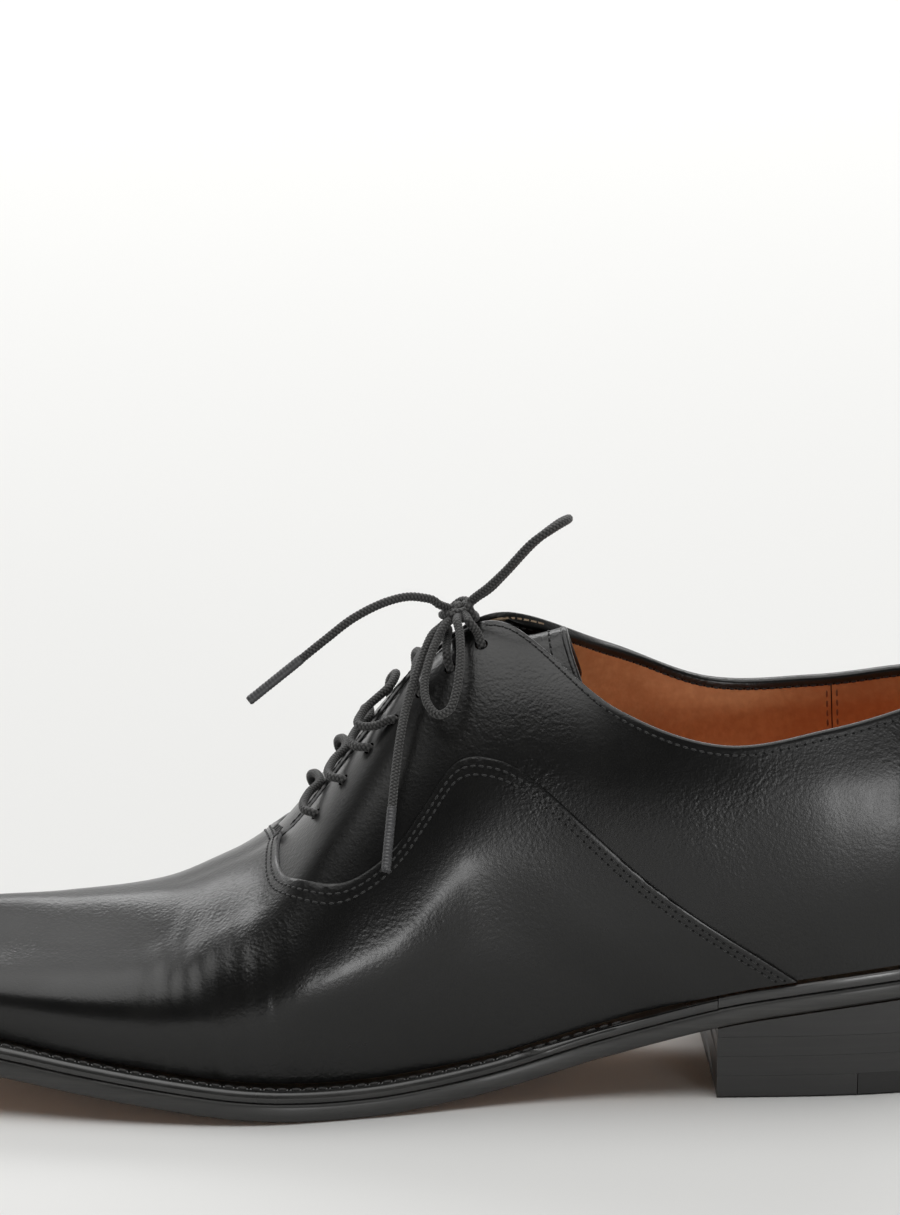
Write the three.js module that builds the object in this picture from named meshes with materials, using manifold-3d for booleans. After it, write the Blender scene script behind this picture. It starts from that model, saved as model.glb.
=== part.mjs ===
// A black leather oxford shoe for the left foot, with a welted sole, a stacked heel, closed lacing
// and a hinged tongue.
// Millimetres. +X points to the toe, +Y to the wearer's left (the lateral side), +Z up.
// The origin is in the middle of the heel's bottom face.

import * as THREE from 'three';
import { mergeVertices } from 'three/addons/utils/BufferGeometryUtils.js';
import Module from 'manifold-3d';

// ---------- driving dimensions ----------
const SHOE_LENGTH = 297; // outsole, back of the heel to tip of the toe
const BALL_BREADTH = 46.5; // lateral half of the last at the ball, along the feather line
const BACK_HEIGHT = 64; // feather line to topline at the back seam
const HEEL_BREAST_HEIGHT = 17.5; // ground to outsole at the front of the heel
const HEEL_LENGTH = 68; // back of the heel to its breast
const TOE_SPRING = 16.5; // ground to outsole at the tip of the toe

const GAP = 0.3; // clearance between pieces that touch
const UPPER_THICKNESS = 1.2;
const LINING_THICKNESS = 0.95;
const STAY_THICKNESS = 0.5;
const COUNTER_THICKNESS = 1.1;
const PUFF_THICKNESS = 1.0;
const TONGUE_THICKNESS = 1.1;
const TONGUE_LINING_THICKNESS = 0.8;
const TONGUE_STANDOUT = 20; // tongue beyond the top of the facings
const BACK_STRIP_WIDTH = 15;
const BACK_STRIP_THICKNESS = 0.9;
const UNDERLAP = 7; // how far the quarters run on under the vamp
const UPPER_SEAT = GAP + UPPER_THICKNESS / 2; // the upper's lower edge over the welt

const OUTSOLE_THICKNESS = 4.6;
const WELT_THICKNESS = 2.6;
const WELT_WIDTH = 5.0; // how far the welt stands out around the forepart
const RAND_WIDTH = 1.2; // the same around the heel
const WELT_INSET = 6; // how far the welt runs in under the upper
const INSOLE_THICKNESS = 3.0;
const RIB_WIDTH = 1.5;
const SOCK_THICKNESS = 0.8;
const SOCK_LENGTH = 74;
const SHANK_WIDTH = 14;
const SHANK_LENGTH = 84;
const SHANK_THICKNESS = 1.4;
const TOP_PIECE_THICKNESS = 5.6;
const WEDGE_THICKNESS = 1.5; // of the wedge between lifts and outsole, at the heel's breast
const QUARTER_TIP_LENGTH = 34; // rubber part of the top piece, from the back
const HEEL_TAPER = 0.9; // how much the heel draws in from its top to the ground

const LACE_DIAMETER = 2.2;
const EYELET_DIAMETER = LACE_DIAMETER + 1.0;
const AGLET_DIAMETER = LACE_DIAMETER + 0.3;
const AGLET_LENGTH = 15.5;

// ---------- the shape of the last ----------
// Stations run along each side of the shoe, from the back seam (0) to the tip of the toe (13).
// feather: [distance from the heel's back, half breadth] where the upper meets the welt
// bulge, shoulder: half breadths at a third and at two thirds of the upper's height
// top: [distance from the heel's back, half breadth, height over the feather line] of the topline,
// the edge of the facings, or the crest of the vamp
const STATIONS = [
  { feather: [5, 0], bulge: 0, shoulder: 0, top: [6, 0, 64.0] },
  { feather: [9, 17.5], bulge: 19.5, shoulder: 17, top: [10, 13, 63.8] },
  { feather: [21, 27], bulge: 29.5, shoulder: 27, top: [23, 22.5, 62.4] },
  { feather: [41, 31], bulge: 33, shoulder: 31, top: [45, 27.5, 59.3] },
  { feather: [69, 31.8], bulge: 34, shoulder: 32.5, top: [71, 29, 59.8] },
  { feather: [99, 31], bulge: 33.5, shoulder: 31.5, top: [96, 22.5, 75.2] },
  { feather: [128, 34.5], bulge: 36.5, shoulder: 27.5, top: [122, 4.6, 99.8] },
  { feather: [156, 41.5], bulge: 43.5, shoulder: 25.5, top: [140, 2.5, 93.3] },
  { feather: [182, 46.5], bulge: 48.5, shoulder: 29.5, top: [158, 1.9, 70.2] },
  { feather: [208, 44.5], bulge: 46.5, shoulder: 31, top: [176, 0, 45] },
  { feather: [235, 38.5], bulge: 40.5, shoulder: 28, top: [198, 0, 30.7] },
  { feather: [262, 30.5], bulge: 32, shoulder: 21.5, top: [222, 0, 23.2] },
  { feather: [283, 18], bulge: 19.2, shoulder: 12.5, top: [244, 0, 19.7] },
  { feather: [291.5, 0], bulge: 0, shoulder: 0, top: [253, 0, 18.2] },
];
const LAST_STATION = STATIONS.length - 1;
const MEDIAL_SHARE = [1, 1, 1, 0.98, 0.93, 0.82, 0.76, 0.78, 0.89, 1.0, 1.05, 1.03, 1.0, 1];
// How much higher the medial topline stands than the lateral one.
const MEDIAL_RISE = [0, -0.6, -0.6, 1.1, 4.5, 7.3, 0.8, 0, 0, 0, 0, 0, 0, 0];
const BULGE_HEIGHT = [0.4, 0.4, 0.38, 0.36, 0.34, 0.33, 0.33, 0.33, 0.34, 0.36, 0.38, 0.4, 0.42, 0.45];
const SHOULDER_HEIGHT = [0.72, 0.72, 0.72, 0.72, 0.72, 0.72, 0.74, 0.78, 0.81, 0.74, 0.68, 0.66, 0.68, 0.74];
// Share of the way from feather to top, along the shoe: the sides lean with the facings,
// and the toe box stands up.
const BULGE_LEAN = [0, 0.36, 0.36, 0.36, 0.36, 0.36, 0.36, 0.36, 0.36, 0.34, 0.26, 0.14, 0, 0];
const SHOULDER_LEAN = [0, 0.76, 0.76, 0.76, 0.76, 0.76, 0.76, 0.76, 0.76, 0.74, 0.68, 0.58, 0.42, 0];
// 1 where both sides meet in a round ridge
const ROUND_CREST = [0, 0, 0, 0, 0, 0.2, 0.6, 1, 1, 1, 1, 1, 1, 1];
const FACING_EASE = 0.35; // half breadth taken off the crest, so that the facings close above the throat

// The outsole's underside: distance from the heel's back, share of the heel's height,
// share of the toe spring.
const UNDERSIDE = [
  [0, 1.48, 0], [25, 1.36, 0], [50, 1.2, 0], [72, 1, 0], [100, 0.59, 0], [125, 0.22, 0], [148, 0.04, 0],
  [165, 0, 0], [185, 0, 0.06], [205, 0, 0.21], [225, 0, 0.39], [243, 0, 0.57], [270, 0, 0.82], [296, 0, 1],
];

// Driving sizes of the station table, which the shoe's own sizes scale.
const TABLE = { length: 297, breadth: 46.5, height: 64, origin: 40, heel: 68, back: 4, ball: 165 };
const along = (s) => (s * SHOE_LENGTH) / TABLE.length;
const across = (y) => (y * BALL_BREADTH) / TABLE.breadth;
const rise = (z) => (z * BACK_HEIGHT) / TABLE.height;
const ORIGIN = along(TABLE.origin); // the heel's middle, ahead of the seam of its rubber tip

// Smooth curve through points at xs, with slopes from the neighbours.
function spline(x, xs, ys) {
  let i = 0;
  while (i < xs.length - 2 && x > xs[i + 1]) i++;
  const slope = (k) => {
    const a = Math.max(k - 1, 0);
    const b = Math.min(k + 1, xs.length - 1);
    return (ys[b] - ys[a]) / (xs[b] - xs[a]);
  };
  const step = xs[i + 1] - xs[i];
  const u = THREE.MathUtils.clamp((x - xs[i]) / step, 0, 1);
  const v = 1 - u;
  return v * v * (1 + 2 * u) * ys[i] + u * u * (1 + 2 * v) * ys[i + 1]
    + step * u * v * (v * slope(i) - u * slope(i + 1));
}

// Value between stations; the curve carries on mirrored at the back seam and at the toe.
function between(values, t, odd = false) {
  const sign = odd ? -1 : 1;
  const i = THREE.MathUtils.clamp(Math.floor(t), 0, LAST_STATION - 1);
  const u = t - i;
  const p1 = values[i];
  const p2 = values[i + 1];
  const p0 = i > 0 ? values[i - 1] : sign * p2;
  const p3 = i < LAST_STATION - 1 ? values[i + 2] : sign * p1;
  return 0.5 * (2 * p1 + (p2 - p0) * u + (2 * p0 - 5 * p1 + 4 * p2 - p3) * u * u
    + (3 * p1 - p0 - 3 * p2 + p3) * u * u * u);
}

// The heel's breast moves with the heel's length, and the waist stretches or closes up ahead of it.
const HEEL_START = along(TABLE.back); // the heel's top edge at the back
const breastShift = HEEL_LENGTH - along(TABLE.heel);
const undersideAt = UNDERSIDE.map(([s]) => {
  const heelShare = (s - TABLE.back) / TABLE.heel;
  const waistShare = (TABLE.ball - s) / (TABLE.ball - TABLE.back - TABLE.heel);
  return along(s) + breastShift * THREE.MathUtils.clamp(Math.min(heelShare, waistShare), 0, 1);
});
const undersideHeight = UNDERSIDE.map(([, heel, toe]) => heel * HEEL_BREAST_HEIGHT + toe * TOE_SPRING);
const underside = (s) => spline(s, undersideAt, undersideHeight);
const weltBottom = (s) => underside(s) + OUTSOLE_THICKNESS + GAP;
const featherHeight = (s) => weltBottom(s) + WELT_THICKNESS;

const featherS = STATIONS.map((p) => along(p.feather[0]));
const featherY = STATIONS.map((p) => across(p.feather[1]));
const bulgeY = STATIONS.map((p) => across(p.bulge));
const shoulderY = STATIONS.map((p) => across(p.shoulder));
const topS = STATIONS.map((p) => along(p.top[0]));
const topY = STATIONS.map((p) => across(p.top[1]));
const topRise = STATIONS.map((p) => rise(p.top[2]));
const lean = (share, back, front) => featherS.map((s, i) => {
  if (i === 0) return s + back;
  return i === LAST_STATION ? s + front : s + (topS[i] - s) * share[i];
});
const bulgeS = lean(BULGE_LEAN, -5, 3); // the heel curves out to the back, the toe to the front
const shoulderS = lean(SHOULDER_LEAN, -2.5, -8);

// A point of the upper's outer face: t from heel to toe, h from feather line (0) to top (1), side +1 lateral.
function upperPoint(t, h, side) {
  const breadth = side < 0 ? between(MEDIAL_SHARE, t) : 1;
  const feather = [between(featherS, t), between(featherY, t, true) * breadth];
  const z0 = featherHeight(feather[0]) + UPPER_SEAT;
  const reach = between(topRise, t) + (side < 0 ? rise(between(MEDIAL_RISE, t)) : 0);
  const top = [between(topS, t), Math.max(0, between(topY, t, true) - FACING_EASE * Math.min(1, t))];
  const rows = [
    [feather[0], feather[1], z0],
    [between(bulgeS, t), between(bulgeY, t, true) * breadth, z0 + reach * between(BULGE_HEIGHT, t)],
    [between(shoulderS, t), between(shoulderY, t, true) * breadth, z0 + reach * between(SHOULDER_HEIGHT, t)],
    [top[0], top[1] * breadth, z0 + reach],
  ].map((p) => new THREE.Vector3(...p));
  const ridge = THREE.MathUtils.clamp(between(ROUND_CREST, t), 0, 1);
  const start = rows[1].clone().sub(rows[0]).multiply(new THREE.Vector3(1, 1.6, 0.9));
  const low = rows[2].clone().sub(rows[0]).multiplyScalar(0.5);
  const high = rows[3].clone().sub(rows[1]).multiplyScalar(0.5);
  const end = rows[3].clone().sub(rows[2])
    .multiply(new THREE.Vector3(1 + 0.15 * ridge, 1 + 0.15 * ridge, 1 - ridge));
  const slopes = [start, low, high, end];
  const i = Math.min(2, Math.floor(h * 3));
  const u = h * 3 - i;
  const v = 1 - u;
  const p = rows[i].clone().multiplyScalar(v * v * (1 + 2 * u))
    .addScaledVector(rows[i + 1], u * u * (1 + 2 * v))
    .addScaledVector(slopes[i], v * v * u)
    .addScaledVector(slopes[i + 1], -u * u * v);
  p.y *= side;
  return p;
}

// The outer face's normal, pointing away from the foot.
function upperNormal(t, h, side) {
  const step = 0.004;
  const t0 = Math.max(0, t - step);
  const t1 = Math.min(LAST_STATION, t + step);
  const h0 = Math.max(0, h - step);
  const h1 = Math.min(1, h + step);
  const forward = upperPoint(t1, h, side).sub(upperPoint(t0, h, side));
  const up = upperPoint(t, h1, side).sub(upperPoint(t, h0, side));
  const n = side > 0 ? up.cross(forward) : forward.cross(up);
  if (Math.abs(upperPoint(t, h, side).y) < 1e-6) n.y = 0;
  return n.normalize();
}

// ---------- the lattice that all pieces of the upper are cut from ----------
const COLUMNS = 27;
const ROWS = 8;
const THROAT = 8.8; // station where the facings close
const CREST_SPACING = 0.4; // how much the columns crowd at heel and toe

const columnAt = Array.from({ length: COLUMNS + 1 }, (_, i) => {
  const u = i / COLUMNS;
  return LAST_STATION * ((1 - CREST_SPACING) * u + CREST_SPACING * (1 - Math.cos(Math.PI * u)) / 2);
});
const fromThroat = (i) => Math.abs(columnAt[i] - THROAT);
const throatColumn = columnAt.reduce((best, _, i) => (fromThroat(i) < fromThroat(best) ? i : best), 0);
columnAt[throatColumn] = THROAT;
const rowAt = Array.from({ length: ROWS + 1 }, (_, j) => {
  const u = j / ROWS;
  return u * (1.25 - 0.25 * u);
});

// Lattice nodes of one side: where they are, which way is out, and their t and h.
function makeSide(side) {
  return columnAt.map((t) => rowAt.map((h) => {
    const lifted = t === columnAt[COLUMNS] && h === 1 ? t - 0.01 : t;
    const normal = upperNormal(lifted, h, side);
    if (t === columnAt[COLUMNS]) normal.setY(0).normalize();
    return { t, h, side, at: upperPoint(t, h, side), normal };
  }));
}
const lattice = { 1: makeSide(1), '-1': makeSide(-1) };

const middle = (a, b, u) => ({
  t: a.t + (b.t - a.t) * u,
  h: a.h + (b.h - a.h) * u,
  side: a.side,
  at: a.at.clone().lerp(b.at, u),
  normal: a.normal.clone().lerp(b.normal, u),
});

// Keeps the part of a convex polygon of nodes where inside(node) is positive.
function cut(polygon, inside) {
  const snap = 0.3; // a node this near the line, in mm, counts as on it
  const value = polygon.map((p) => {
    const f = inside(p.t, p.h, p.side);
    return Math.abs(f) < snap ? 0 : f;
  });
  const kept = [];
  polygon.forEach((p, i) => {
    const k = (i + 1) % polygon.length;
    if (value[i] >= 0) kept.push(p);
    if (value[i] * value[k] < 0) kept.push(middle(p, polygon[k], value[i] / (value[i] - value[k])));
  });
  const onLine = value.every((v) => v <= 0);
  return onLine ? [] : kept;
}

// Triangles of the lattice on the given sides, trimmed by each limit in turn.
function trimmed(sides, ...limits) {
  const triangles = [];
  for (const side of sides) {
    const grid = lattice[side];
    for (let i = 0; i < COLUMNS; i++) {
      for (let j = 0; j < ROWS; j++) {
        const [a, b, c, d] = [grid[i][j], grid[i + 1][j], grid[i + 1][j + 1], grid[i][j + 1]];
        for (const triangle of [[a, b, c], [a, c, d]]) {
          let polygon = triangle;
          for (const limit of limits) polygon = polygon.length > 2 ? cut(polygon, limit) : [];
          for (let k = 2; k < polygon.length; k++) {
            const fan = [polygon[0], polygon[k - 1], polygon[k]];
            triangles.push(side > 0 ? fan.reverse() : fan);
          }
        }
      }
    }
  }
  return triangles;
}

// ---------- solids ----------
// Closed solid between an outer and an inner face of the same triangles; each corner is [outer, inner].
// Faces that nothing shares get a wall.
function slab(triangles) {
  const corners = [];
  const found = new Map();
  const indexOf = ([outer, inner]) => {
    const key = [outer.x, outer.y, outer.z].map((v) => Math.round(v * 1000)).join();
    if (!found.has(key)) {
      found.set(key, corners.length);
      corners.push([outer, inner]);
    }
    return found.get(key);
  };
  const faces = triangles.map((t) => t.map(indexOf)).filter(([a, b, c]) => a !== b && b !== c && c !== a);
  const edges = new Set(faces.flatMap(([a, b, c]) => [`${a} ${b}`, `${b} ${c}`, `${c} ${a}`]));
  const outer = (i) => 2 * i;
  const inner = (i) => 2 * i + 1;
  const index = [];
  for (const [a, b, c] of faces) {
    index.push(outer(a), outer(b), outer(c), inner(a), inner(c), inner(b));
    for (const [p, q] of [[a, b], [b, c], [c, a]]) {
      if (edges.has(`${q} ${p}`)) continue;
      index.push(outer(p), inner(p), inner(q), outer(p), inner(q), outer(q));
    }
  }
  const position = corners.flatMap(([o, i]) => [o.x, o.y, o.z, i.x, i.y, i.z]);
  const geometry = new THREE.BufferGeometry();
  geometry.setAttribute('position', new THREE.Float32BufferAttribute(position, 3));
  geometry.setIndex(index);
  return geometry;
}

// Shell of the upper: depth(t, h) is how far its outer face lies under the last's outer face.
const SEAM_HALF_GAP = GAP / 2;
function shell(triangles, depth, thickness, meets = false) {
  const place = (node, under) => {
    const p = node.at.clone().addScaledVector(node.normal, -under);
    if (!meets) p.y = node.side * Math.max(SEAM_HALF_GAP, node.side * p.y);
    return p;
  };
  return slab(triangles.map((triangle) => triangle.map((node) => {
    const under = typeof depth === 'function' ? depth(node.t, node.h, node.side) : depth;
    const thick = typeof thickness === 'function' ? thickness(node.t, node.h) : thickness;
    return [place(node, under), place(node, under + thick)];
  })));
}

const wasm = await Module();
wasm.setup();

function toSolid(geometry) {
  const bare = (geometry.index ? geometry.toNonIndexed() : geometry).clone();
  bare.deleteAttribute('normal');
  bare.deleteAttribute('uv');
  const merged = mergeVertices(bare, 1e-3);
  return new wasm.Manifold(new wasm.Mesh({
    numProp: 3,
    vertProperties: merged.attributes.position.array,
    triVerts: new Uint32Array(merged.index.array),
  }));
}

function toGeometry(solid) {
  const mesh = solid.getMesh();
  const geometry = new THREE.BufferGeometry();
  geometry.setAttribute('position', new THREE.BufferAttribute(mesh.vertProperties, 3));
  geometry.setIndex(new THREE.BufferAttribute(mesh.triVerts, 1));
  return geometry;
}

const shoe = new THREE.Group();
shoe.name = 'oxford_shoe';
shoe.position.x = -ORIGIN;

const MATERIALS = {
  calf: { color: 0x17181a, roughness: 0.32 },
  lining: { color: 0xa5673f, roughness: 0.62 },
  board: { color: 0x8d7457, roughness: 0.85 },
  cork: { color: 0x7d5a35, roughness: 0.95 },
  steel: { color: 0x8c8f93, roughness: 0.35, metalness: 1 },
  welt: { color: 0x1b1b1c, roughness: 0.4 },
  sole: { color: 0x242220, roughness: 0.5 },
  rubber: { color: 0x151515, roughness: 0.7 },
  lace: { color: 0x1a1b1c, roughness: 0.6 },
  aglet: { color: 0x4a4b4e, roughness: 0.35 },
};

function add(name, finish, geometry, parent = shoe) {
  const mesh = new THREE.Mesh(geometry, new THREE.MeshStandardMaterial(MATERIALS[finish]));
  mesh.name = name;
  parent.add(mesh);
  return mesh;
}

// ---------- seams and regions of the upper, in mm on the flattened side ----------
const STATION_PITCH = 24; // mm from station to station
const RIB_LENGTH = 80; // mm from feather line to top

// The vamp's edge: from the feather line at the heel's breast up to its peak, round the throat to the crest.
const VAMP_EDGE = [
  [3.2, -0.12], [3.45, 0], [3.81, 0.155], [4.16, 0.288], [4.51, 0.405], [5.12, 0.555],
  [5.6, 0.618], [6.1, 0.643], [6.5, 0.638], [6.85, 0.575], [7.15, 0.525], [7.6, 0.512],
  [8.0, 0.55], [8.4, 0.635], [8.76, 0.78], [8.98, 1.0], [9.06, 1.12],
].map(([t, h]) => new THREE.Vector3(t * STATION_PITCH, h * RIB_LENGTH, 0));
const vampEdge = new THREE.CatmullRomCurve3(VAMP_EDGE, false, 'centripetal').getPoints(120);

// Distance past the vamp's edge: positive on the vamp, negative on the quarters.
function pastVampEdge(t, h) {
  const p = new THREE.Vector3(t * STATION_PITCH, h * RIB_LENGTH, 0);
  let nearest = Infinity;
  let signed = 0;
  for (let i = 1; i < vampEdge.length; i++) {
    const a = vampEdge[i - 1];
    const run = vampEdge[i].clone().sub(a);
    const u = THREE.MathUtils.clamp(p.clone().sub(a).dot(run) / run.lengthSq(), 0, 1);
    const off = p.clone().sub(a.clone().addScaledVector(run, u));
    const d = off.length();
    if (d < nearest) {
      nearest = d;
      signed = run.x * off.y - run.y * off.x < 0 ? d : -d;
    }
  }
  return signed;
}
const smooth = (x) => THREE.MathUtils.smoothstep(x, 0, 1);

const HEEL_LINING_END = 2.8; // station of the double-stitched seam in the lining
const COUNTER_END = 3.9;
const COUNTER_TOP = 0.66;
const PUFF_START = 10.7;
const STAY_BOTTOM = 0.78;
const STAY_START = 5.6;
const inCounter = (t, h) => Math.min((COUNTER_END - t) * STATION_PITCH, (COUNTER_TOP - h) * RIB_LENGTH);
const inPuff = (t) => (t - PUFF_START) * STATION_PITCH;
const inStay = (t, h) => Math.min((h - STAY_BOTTOM) * RIB_LENGTH, (t - STAY_START) * STATION_PITCH,
  (THROAT - 0.15 - t) * STATION_PITCH);
// The vamp lining lies ahead of this seam, the quarter linings behind it.
const liningSeam = (t, h) => (t - 7.4 - 1.55 * h) * STATION_PITCH;

// Depths under the outer face, from outside in.
const VAMP_LAP = UPPER_THICKNESS + GAP; // the vamp lies over the quarters along its edge
const LAP_END = UNDERLAP + 6;
const LAP_FADE = 14;
const vampDepth = (t, h) => -VAMP_LAP * (1 - smooth((pastVampEdge(t, h) - LAP_END) / LAP_FADE));
const STIFFENER_DEPTH = UPPER_THICKNESS + GAP;
const COVER = 14; // the lining is let down this far beyond a stiffener before it comes up again
const FADE = 14;
const covers = (distance) => smooth((distance + COVER + FADE) / FADE);
const liningDepth = (t, h) => STIFFENER_DEPTH
  + Math.max((COUNTER_THICKNESS + GAP) * covers(inCounter(t, h)), (PUFF_THICKNESS + GAP) * covers(inPuff(t)),
    (STAY_THICKNESS + GAP) * covers(inStay(t, h)));
const innerDepth = (t, h) => liningDepth(t, h) + LINING_THICKNESS;

// ---------- upper ----------
const BOTH = [1, -1];
const eyelets = [
  [8.39, 0.85], [8.03, 0.845], [7.7, 0.848], [7.39, 0.848], [7.04, 0.852], [6.66, 0.868], [6.26, 0.905],
]; // station and height of each pair, from the throat up

// Straight pin through the upper, centred on the given point of its face.
function drill(t, h, side, diameter, out, depth) {
  const at = upperPoint(t, h, side);
  const normal = upperNormal(t, h, side);
  const pin = new THREE.CylinderGeometry(diameter / 2, diameter / 2, out + depth, 8);
  pin.applyQuaternion(new THREE.Quaternion().setFromUnitVectors(new THREE.Vector3(0, 1, 0), normal));
  const centre = at.addScaledVector(normal, (out - depth) / 2);
  return pin.translate(centre.x, centre.y, centre.z);
}
function punched(geometry, side) {
  let solid = toSolid(geometry);
  for (const [t, h] of eyelets) solid = solid.subtract(toSolid(drill(t, h, side, EYELET_DIAMETER, 3, 6)));
  return toGeometry(solid);
}

add('vamp', 'calf', shell(trimmed(BOTH, pastVampEdge), vampDepth, UPPER_THICKNESS, true));
for (const [side, name] of [[1, 'lateral'], [-1, 'medial']]) {
  const quarter = shell(trimmed([side], (t, h) => UNDERLAP - pastVampEdge(t, h)), 0, UPPER_THICKNESS);
  add(`quarter_${name}`, 'calf', punched(quarter, side));
  const stay = shell(trimmed([side], inStay), STIFFENER_DEPTH, STAY_THICKNESS);
  add(`facing_stay_${name}`, 'board', punched(stay, side));
  const behindSeam = (t, h) => -GAP / 2 - liningSeam(t, h);
  const aheadOfHeel = (t) => (t - HEEL_LINING_END) * STATION_PITCH - GAP;
  const quarterLining = shell(trimmed([side], behindSeam, aheadOfHeel), liningDepth, LINING_THICKNESS);
  add(`quarter_lining_${name}`, 'lining', punched(quarterLining, side));
}
const aheadOfSeam = (t, h) => liningSeam(t, h) - GAP / 2;
const inHeel = (t) => (HEEL_LINING_END - t) * STATION_PITCH;
add('vamp_lining', 'lining', shell(trimmed(BOTH, aheadOfSeam), liningDepth, LINING_THICKNESS, true));
add('heel_lining', 'lining', shell(trimmed(BOTH, inHeel), liningDepth, LINING_THICKNESS, true));
add('toe_puff', 'board', shell(trimmed(BOTH, inPuff), STIFFENER_DEPTH, PUFF_THICKNESS, true));
add('heel_counter', 'board', shell(trimmed(BOTH, inCounter), STIFFENER_DEPTH, COUNTER_THICKNESS, true));
add('back_strip', 'calf', shell(trimmed(BOTH, (t) => BACK_STRIP_WIDTH / 2 - t * STATION_PITCH),
  -GAP - BACK_STRIP_THICKNESS, BACK_STRIP_THICKNESS, true));

// ---------- tongue ----------
const TONGUE_TOP = 6.35; // station where the tongue comes out from under the facings
const TONGUE_BASE = 9.25;
const TONGUE_SIDE = 0.68; // height of its side edges
const TONGUE_RUN = new THREE.Vector3(-1, 0, 0.2); // which way its free end points
const TONGUE_CLEARANCE = 0.6; // under the lining of the facings
const TONGUE_NARROWING = 0.16; // share of its breadth, at the free end
const tongueDepth = STIFFENER_DEPTH + STAY_THICKNESS + GAP + LINING_THICKNESS + TONGUE_CLEARANCE;

// Rows of the tongue across the foot, lateral edge to medial edge, from its base up to its free end.
function tongueRows(depth) {
  const side = rowAt.findIndex((h) => h > TONGUE_SIDE);
  const rows = columnAt.flatMap((t, i) => {
    if (t < TONGUE_TOP || t > TONGUE_BASE) return [];
    const half = (grid) => grid[i].slice(side).map((n) => n.at.clone().addScaledVector(n.normal, -depth));
    return [[...half(lattice[1]), ...half(lattice[-1]).reverse()]];
  });
  const top = rows[0];
  for (const out of [0.33, 0.66, 1]) {
    const narrower = new THREE.Vector3(1, 1 - TONGUE_NARROWING * out, 1);
    rows.unshift(top.map((p) => p.clone().multiply(narrower)
      .addScaledVector(TONGUE_RUN, TONGUE_STANDOUT * out)));
  }
  return rows.reverse();
}
// Solid between two faces given as rows of points; otherWay(j) picks each cell's other diagonal.
function strips(outer, inner, otherWay = () => false) {
  const triangles = [];
  for (let i = 1; i < outer.length; i++) {
    for (let j = 1; j < outer[i].length; j++) {
      const corner = (a, b) => [outer[a][b], inner[a][b]];
      const [p, q, r, s] = [corner(i - 1, j - 1), corner(i, j - 1), corner(i, j), corner(i - 1, j)];
      if (otherWay(j)) triangles.push([p, q, s], [q, r, s]);
      else triangles.push([p, q, r], [p, r, s]);
    }
  }
  return slab(triangles);
}
const lateralHalf = (j) => j <= rowAt.filter((h) => h > TONGUE_SIDE).length; // as the lattice over it
const tongueUnder = tongueDepth + TONGUE_THICKNESS;
add('tongue', 'calf', strips(tongueRows(tongueDepth), tongueRows(tongueUnder), lateralHalf));
const liningTop = tongueUnder + GAP;
const liningUnder = liningTop + TONGUE_LINING_THICKNESS;
add('tongue_lining', 'lining', strips(tongueRows(liningTop), tongueRows(liningUnder), lateralHalf));

// ---------- bottom ----------
// Station whose feather line lies at s from the back of the heel.
function stationAt(s) {
  let [low, high] = [0, LAST_STATION];
  for (let k = 0; k < 40; k++) {
    const mid = (low + high) / 2;
    if (between(featherS, mid) < s) low = mid;
    else high = mid;
  }
  return (low + high) / 2;
}

// Point at a distance out from the feather line, seen from above.
function outline(t, side, out) {
  const at = (u) => new THREE.Vector2(between(featherS, u),
    side * between(featherY, u, true) * (side < 0 ? between(MEDIAL_SHARE, u) : 1));
  const step = 0.01;
  const run = at(Math.min(LAST_STATION, t + step)).sub(at(Math.max(0, t - step))).normalize();
  const normal = new THREE.Vector2(-side * run.y, side * run.x);
  const p = at(t).addScaledVector(normal, out);
  if (t === 0 || t === LAST_STATION) p.y = 0;
  return p;
}
const WELT_SWELL = [[0, 0], [60, 0], [85, 0.26], [110, 0.47], [150, 0.95], [300, 1]]; // rand to full welt
const soleEdge = (s) => RAND_WIDTH + (WELT_WIDTH - RAND_WIDTH)
  * spline(s, WELT_SWELL.map((p) => along(p[0])), WELT_SWELL.map((p) => p[1]));
const columnsBetween = (from, to) => [from, ...columnAt.filter((t) => t > from + 0.08 && t < to - 0.08), to];

// Plate across the shoe from station to station; edge(t) is how far it reaches past the feather line.
function plate(from, to, edge, low, high) {
  const rows = columnsBetween(from, to).map((t) => {
    const [a, b] = [outline(t, -1, edge(t)), outline(t, 1, edge(t))];
    return [0, 0.5, 1].map((u) => a.clone().lerp(b, u));
  });
  const lift = (z) => rows.map((row) => row.map((p) => new THREE.Vector3(p.x, p.y, z(p.x, p.y))));
  return strips(lift(high), lift(low));
}

// Band that follows the feather line on both sides and round the end between them.
function band(from, to, outEdge, inEdge, low, high) {
  const columns = columnsBetween(from, to);
  const on = (side) => (t) => [t, side];
  const roundHeel = [...columns.map(on(1)).reverse(), ...columns.slice(1).map(on(-1))];
  const roundToe = [...columns.map(on(-1)), ...columns.slice(0, -1).reverse().map(on(1))];
  const route = from === 0 ? roundHeel : roundToe;
  const rows = route.map(([t, side]) => [outline(t, side, outEdge(t)), outline(t, side, inEdge(t))]);
  const lift = (z) => rows.map((row) => row.map((p) => new THREE.Vector3(p.x, p.y, z(p.x, p.y))));
  return strips(lift(high), lift(low));
}
const heelBreast = stationAt(HEEL_START + HEEL_LENGTH);
const sole = (t) => soleEdge(between(featherS, t));
const inset = (distance) => () => -distance;
const raised = (surface, by) => (s) => surface(s) + by;

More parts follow.
